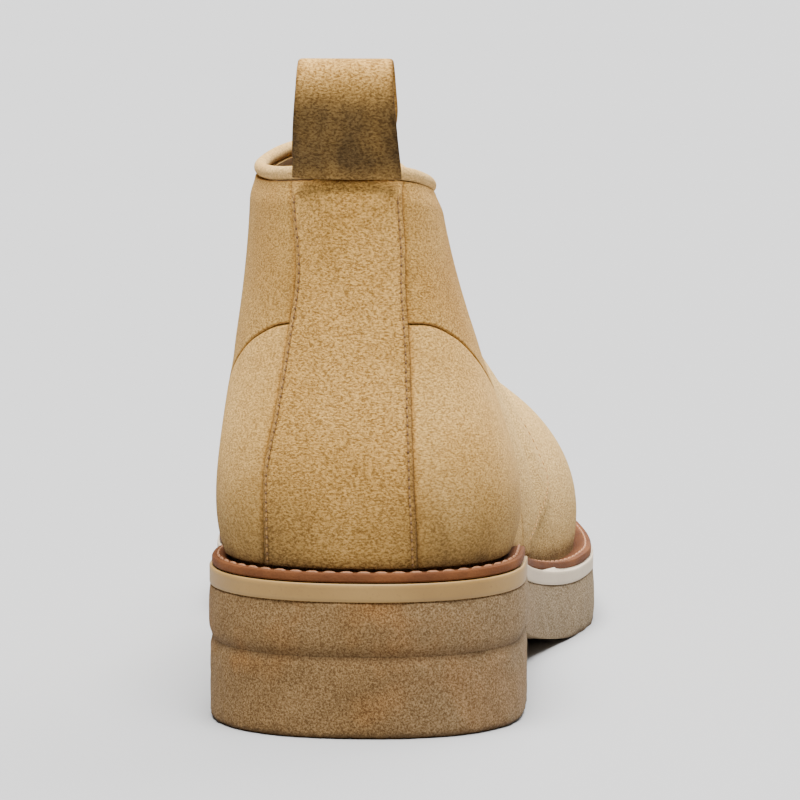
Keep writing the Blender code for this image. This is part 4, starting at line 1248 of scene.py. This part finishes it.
def make_eyelets(metal):
    """Rolled metal eyelets: a flange with a raised lip and a barrel through the facing."""
    hole = EYELET_HOLE / 2
    outer = EYELET_OUTER / 2
    top = GAP + PANEL + 0.0003
    profile = (
        (outer, top), (outer - 0.0001, top + 0.0003), (outer - 0.0006, top + 0.0006),
        ((outer + hole) / 2, top + 0.0008), (hole + 0.0004, top + 0.0006), (hole, top + 0.0001),
        (hole - 0.0001, top - 0.0012), (hole - 0.0001, -WALL - 0.0004), (hole + 0.0003, -WALL - 0.0004),
        (hole + 0.0003, top - 0.0004), (outer - 0.0003, top - 0.0001),
    )
    angles = np.linspace(0, 2 * math.pi, EYELET_SIDES, endpoint=False)
    faces = grid_faces(len(profile), EYELET_SIDES, closed=True) + joined_ends(len(profile), EYELET_SIDES)
    for word, side in SIDES:
        for number, (spot, out, across, _) in enumerate(zip(*eyelet_frames(side)), start=1):
            other = np.cross(out, across)
            spokes = np.cos(angles)[:, None] * across + np.sin(angles)[:, None] * other
            rings = [spot + out * height + radius * spokes for radius, height in profile]
            make_piece(f"eyelet_ring_{word}_{number}", np.concatenate(rings), faces, [metal],
                       f"eyelet_{word}_{number}")


def make_lace(cloth):
    """One lace, run straight across in three bars, with its hidden runs under the facings."""
    frames = {side: eyelet_frames(side) for side in (MEDIAL, LATERAL)}
    above = 2 * GAP + PANEL + 0.0009 + LACE_DIAMETER / 2
    under = WALL + LACE_DIAMETER * 0.55

    def spot(side, number, height, inward=0.0):
        spots, out, across, _ = frames[side]
        return spots[number] + out[number] * height + across[number] * inward

    route = []
    sides = (MEDIAL, LATERAL)
    route.append(spot(MEDIAL, 0, -under, -0.004))
    for number in range(EYELET_PAIRS):
        first, second = sides if number % 2 == 0 else sides[::-1]
        ends = [frames[side][3][number] for side in (first, second)]
        outs = [frames[side][1][number] for side in (first, second)]
        route += [spot(first, number, -under), spot(first, number, 0.0)]
        route.append(spot(first, number, above * 0.95, 0.0006))
        route.append(spot(first, number, above, EYELET_OUTER * 0.5))
        route.append(ends[0] + outs[0] * above * 0.75 + (ends[1] - ends[0]) * 0.08)
        route.append((ends[0] + ends[1]) / 2 + (outs[0] + outs[1]) * above * 0.40)
        route.append(ends[1] + outs[1] * above * 0.75 + (ends[0] - ends[1]) * 0.08)
        route.append(spot(second, number, above, EYELET_OUTER * 0.5))
        route.append(spot(second, number, above * 0.95, 0.0006))
        route += [spot(second, number, 0.0), spot(second, number, -under)]
    last = LATERAL if EYELET_PAIRS % 2 else MEDIAL
    route += [spot(last, 1, -under, -0.0045), spot(last, 0, -under, -0.003)]
    line = catmull(np.array(route), 10 * len(route))
    points, faces = sweep(line, LACE_DIAMETER / 2, 12, up=(0.13, 0.61, 0.78))
    make_piece("lace", points, faces, [cloth], [f"lace_bar_{n + 1}" for n in range(EYELET_PAIRS)])


# The scene


def make_studio():
    """A pale floor, soft lights and the photograph's camera."""
    floor_mesh = bpy.data.meshes.new("floor")
    corners = [(x * FLOOR_REACH, y * FLOOR_REACH, 0) for x, y in ((-1, -1), (1, -1), (1, 1), (-1, 1))]
    floor_mesh.from_pydata(corners, [], [(0, 1, 2, 3)])
    floor_mesh.materials.append(floor_material("floor"))
    floor = add_object("floor", floor_mesh)

    world = bpy.data.worlds.new("studio")
    world.use_nodes = True
    background = world.node_tree.nodes["Background"]
    background.inputs["Color"].default_value = (1.0, 1.0, 1.0, 1.0)
    background.inputs["Strength"].default_value = WORLD_STRENGTH
    bpy.context.scene.world = world
    for name, towards, spread, strength in STUDIO_LIGHTS:
        light = bpy.data.lights.new(name, "SUN")
        light.angle = math.radians(spread)
        light.energy = strength
        lamp = add_object(name, light)
        lamp.rotation_euler = Vector(towards).to_track_quat("Z", "Y").to_euler()

    camera = bpy.data.cameras.new("camera")
    camera.sensor_width = 36.0
    camera.lens = CAMERA_LENS
    holder = add_object("camera", camera)
    holder.location = CAMERA_PLACE
    holder.rotation_euler = (math.radians(90.0 - CAMERA_PITCH), 0.0, math.radians(CAMERA_HEADING))
    bpy.context.scene.camera = holder


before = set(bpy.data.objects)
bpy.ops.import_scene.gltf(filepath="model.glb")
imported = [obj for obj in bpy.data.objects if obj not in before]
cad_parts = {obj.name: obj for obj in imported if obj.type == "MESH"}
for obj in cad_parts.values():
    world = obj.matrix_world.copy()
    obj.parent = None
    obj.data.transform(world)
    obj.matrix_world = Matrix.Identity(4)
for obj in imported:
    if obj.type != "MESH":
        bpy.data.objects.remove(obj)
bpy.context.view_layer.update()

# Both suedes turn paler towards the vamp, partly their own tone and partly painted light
suede = suede_material("suede_fine", (0.51, 0.29, 0.074), (0.42, 0.22, 0.048), 1.3, pale_and_lit_front=0.7)
# The counters' suede has its own tone, made lighter as painted light on the heel's upward-facing bulge
lit_heel_suede = suede_material("suede_heel_lit", (0.67, 0.395, 0.114), (0.57, 0.320, 0.080), 1.2, pale_and_lit_front=0.4)
grained = suede_material("suede_grained", (0.61, 0.345, 0.092), (0.51, 0.278, 0.067), 1.5, 0.5)
# The rim's suede is a paler copy of the quarters' suede: painted light on the top of the rolled collar
lit_rim_suede = suede_material("lit_rim_suede", (0.66, 0.42, 0.155), (0.58, 0.345, 0.11), 0.9)
lining = smooth_leather("lining_leather", (0.44, 0.29, 0.165), (0.36, 0.23, 0.125), 0.65, gloss=0.2)
crepe = crepe_material("crepe")
cream = cream_material("cream")
brown = smooth_leather("welt_leather", (0.155, 0.055, 0.017), (0.095, 0.031, 0.010), 0.75, 0.0007, 0.00012,
                       0.15)
seam_thread = thread_material("seam_thread", (0.44, 0.24, 0.065), (0.32, 0.16, 0.04))
# Colour of the dark beads at the needle holes: painted shade in the holes
hole_shade = thread_material("needle_hole_shade", (0.19, 0.095, 0.028), (0.12, 0.055, 0.015))
welt_thread = thread_material("welt_thread", (0.42, 0.19, 0.085), (0.30, 0.125, 0.052))
metal = metal_material("dark_brass")
lace_cloth = cord_material("lace_cloth", (0.36, 0.21, 0.085), (0.19, 0.10, 0.036))

make_upper(suede, lining)
make_panels(suede, lit_heel_suede, grained)
make_seams(seam_thread, hole_shade)
make_rim(lit_rim_suede)
make_loop(grained)
make_sole(crepe, cream, brown, welt_thread)
make_tongue(suede)
make_eyelets(metal)
make_lace(lace_cloth)
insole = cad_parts["insole"]
insole.data.materials.clear()
insole.data.materials.append(lining)
make_studio()
